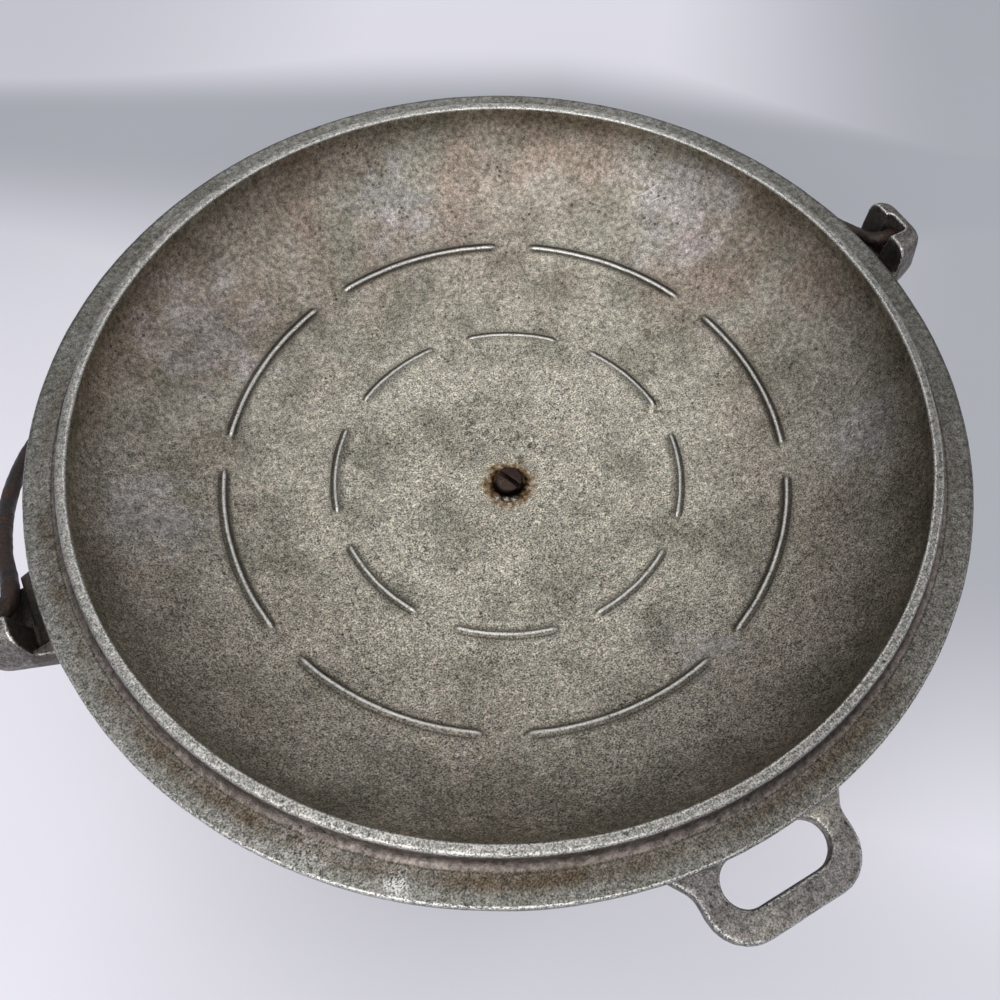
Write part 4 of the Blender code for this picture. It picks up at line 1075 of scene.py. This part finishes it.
class OVEN_OT_screw(bpy.types.Operator):
    """Make the rusted slotted screw in the middle of the lid"""
    bl_idname = "dutch_oven.screw"
    bl_label = "Screw"

    def execute(self, context):
        sizes = context.scene.dutch_oven_knob
        crown, tip, head = SCREW_HIGH.z, SCREW_LOW.z, sizes.head_radius
        seat = crown - sizes.head_height
        outline = rounded([
            (0.0, crown, 0.0, 0),
            (head / 2, crown - 0.1 * MM, 1.5 * MM, 4),
            (head, crown - sizes.head_height / 4, 1.3 * MM, 8),
            (head, seat, 0.3 * MM, 3),
            (sizes.shank_radius, seat, 0.0, 0),
            (sizes.shank_radius, tip, 0.5 * MM, 3),
            (0.0, tip, 0.0, 0),
        ])
        tones = context.scene.dutch_oven_finish
        # The head's pale coat is a painted glint
        steel = rusty_steel("rusty_screw_steel", tones.screw, 0.7, 0.42,
                            ((slot_dirt, tones.char), (head_glint, tones.bowl)))
        obj = new_object("lid_screw", turned("lid_screw", outline, SCREW_AROUND), steel)
        reach = head + 2 * MM
        slot = box_cutter((-reach, -sizes.drive_width / 2, crown - sizes.drive_depth),
                          (reach, sizes.drive_width / 2, crown + 2 * MM))
        slot.rotation_euler.z = sizes.drive_turn
        cut = obj.modifiers.new("slot", "BOOLEAN")
        cut.object = slot
        remesh = obj.modifiers.new("skin", "REMESH")
        remesh.mode = "VOXEL"
        remesh.voxel_size = 0.16 * MM
        smooth = obj.modifiers.new("softened", "SMOOTH")
        smooth.iterations = 4
        run_tree(obj, cast_skin_tree(), wave_size=2.5 * MM, wave_depth=0.12 * MM, grain_size=0.8 * MM,
                 grain_depth=0.06 * MM, material=steel)
        mark_curvature(bake(obj))
        bpy.data.objects.remove(slot)
        finish_piece(obj, "lid_body", "knob_screw")
        return {"FINISHED"}


def add_lamp(name, place, width, power):
    """Soft square lamp that faces the pot."""
    data = bpy.data.lights.new(name, "AREA")
    data.shape = "SQUARE"
    data.size = width
    data.energy = power
    lamp = bpy.data.objects.new(name, data)
    bpy.context.scene.collection.objects.link(lamp)
    lamp.location = place
    lamp.rotation_euler = (Vector(place) - LAMP_TARGET).to_track_quat("Z", "Y").to_euler()


class OVEN_OT_stage(bpy.types.Operator):
    """Make the pale floor, the soft lamps and the camera"""
    bl_idname = "dutch_oven.stage"
    bl_label = "Stage"

    def execute(self, context):
        scene = context.scene
        settings = scene.dutch_oven_stage
        mesh = bpy.data.meshes.new("floor")
        bm = bmesh.new()
        bmesh.ops.create_grid(bm, x_segments=1, y_segments=1, size=FLOOR_REACH)
        bm.to_mesh(mesh)
        bm.free()
        # Matt seamless vinyl, a breath uneven
        vinyl, tree, shader = new_material("matt_vinyl")
        place = add(tree, "ShaderNodeTexCoord", out=3)
        cloud = add(tree, "ShaderNodeTexNoise", {"Vector": place, "Scale": 6.0, "Detail": 2.0})
        level = add(tree, "ShaderNodeMapRange", {"Value": cloud, "To Min": 0.97, "To Max": 1.0})
        # Painted shade on the flat floor: a dim band behind the pot where a backdrop would fold up, paler
        # again beyond it, and painted shadows at the sides and in front
        away, side = (
            add(tree, "ShaderNodeVectorMath", {0: place, 1: (x, y, 0.0)}, out=1, operation="DOT_PRODUCT")
            for x, y in ((0.545, 0.839), (0.839, -0.545)))
        left, right = (add(tree, "ShaderNodeMath", {0: side, 1: slope}, operation="MULTIPLY")
                       for slope in (-0.13, 0.07))
        bent = add(tree, "ShaderNodeMath", {0: left, 1: right}, operation="MAXIMUM")
        bent = add(tree, "ShaderNodeMath", {0: bent, 1: away}, operation="ADD")
        # Each dim part grows along one direction and ends along another
        dims = []
        for value, none, full, most, other, gone, there in (
                (away, 0.09, 0.215, 0.88, bent, 0.318, 0.268), (side, 0.0, 0.22, 0.85, away, -0.12, 0.02),
                (side, -0.02, -0.28, 0.5, away, 0.0, 0.2), (side, -0.17, 0.0, 0.36, away, -0.06, -0.14)):
            grown, kept = (
                add(tree, "ShaderNodeMapRange", limits, interpolation_type="SMOOTHSTEP") for limits in (
                    {"Value": value, "From Min": none, "From Max": full, "To Max": most},
                    {"Value": other, "From Min": gone, "From Max": there, "To Min": 0.15}))
            dims.append(add(tree, "ShaderNodeMath", {0: grown, 1: kept}, operation="MULTIPLY"))
        shade = joined(tree, "MAXIMUM", dims)
        colour = coats(tree, opaque(settings.floor), ((shade, settings.shade),))
        colour = add(tree, "ShaderNodeVectorMath", {0: colour, "Scale": level}, operation="SCALE")
        rays = add(tree, "ShaderNodeLightPath").node.outputs
        seen = joined(tree, "ADD", [rays[f"Is {kind} Ray"] for kind in ("Camera", "Glossy", "Transmission")])
        glow = add(tree, "ShaderNodeMath", {0: seen, 1: settings.floor_glow}, operation="MULTIPLY")
        feed(tree, shader, {"Base Color": colour, "Emission Color": colour, "Emission Strength": glow,
                            "Roughness": 0.8})
        new_object("floor", mesh, vinyl)

        world = bpy.data.worlds.new("soft_sky")
        world.use_nodes = True
        sky = world.node_tree.nodes["Background"]
        feed(world.node_tree, sky, {"Color": opaque(settings.sky), "Strength": settings.sky_strength})
        scene.world = world
        for name, lamp_place, width, power in SOFTBOXES:
            add_lamp(name, lamp_place, width, power)

        data = bpy.data.cameras.new("camera")
        data.lens = settings.lens
        data.sensor_width = SENSOR_WIDTH
        data.shift_x = settings.shift
        camera = bpy.data.objects.new("camera", data)
        scene.collection.objects.link(camera)
        turn = Matrix.Rotation(-settings.camera_heading, 4, "Z")
        turn @= Matrix.Rotation(math.pi / 2 - settings.camera_dip, 4, "X")
        turn @= Matrix.Rotation(settings.camera_roll, 4, "Z")
        camera.rotation_euler = turn.to_euler()
        camera.location = settings.camera_place
        scene.camera = camera
        scene.view_settings.view_transform = "Standard"
        return {"FINISHED"}


OPERATORS = (OVEN_OT_lid, OVEN_OT_pot, OVEN_OT_bail, OVEN_OT_knob, OVEN_OT_screw, OVEN_OT_stage)
SETTINGS = {
    "dutch_oven_lid": LidSettings,
    "dutch_oven_pot": PotSettings,
    "dutch_oven_bail": BailSettings,
    "dutch_oven_knob": KnobSettings,
    "dutch_oven_finish": FinishSettings,
    "dutch_oven_stage": StageSettings,
}


class OVEN_PT_panel(bpy.types.Panel):
    """Lists the operators and their settings"""
    bl_label = "Dutch oven"
    bl_idname = "OVEN_PT_panel"
    bl_space_type = "VIEW_3D"
    bl_region_type = "UI"
    bl_category = "Dutch oven"

    def draw(self, context):
        layout = self.layout
        for operator in OPERATORS:
            layout.operator(operator.bl_idname)
        for name, group in SETTINGS.items():
            box = layout.box()
            box.label(text=group.__name__)
            for setting in group.__annotations__:
                box.prop(getattr(context.scene, name), setting)


def register():
    for name, group in SETTINGS.items():
        bpy.utils.register_class(group)
        setattr(bpy.types.Scene, name, PointerProperty(type=group))
    for cls in (*OPERATORS, OVEN_PT_panel):
        bpy.utils.register_class(cls)


def unregister():
    for cls in (OVEN_PT_panel, *reversed(OPERATORS)):
        bpy.utils.unregister_class(cls)
    for name, group in SETTINGS.items():
        delattr(bpy.types.Scene, name)
        bpy.utils.unregister_class(group)


def main():
    register()
    bpy.ops.dutch_oven.lid()
    bpy.ops.dutch_oven.pot()
    bpy.ops.dutch_oven.bail()
    bpy.ops.dutch_oven.knob()
    bpy.ops.dutch_oven.screw()
    bpy.ops.dutch_oven.stage()


if __name__ == "__main__":
    main()
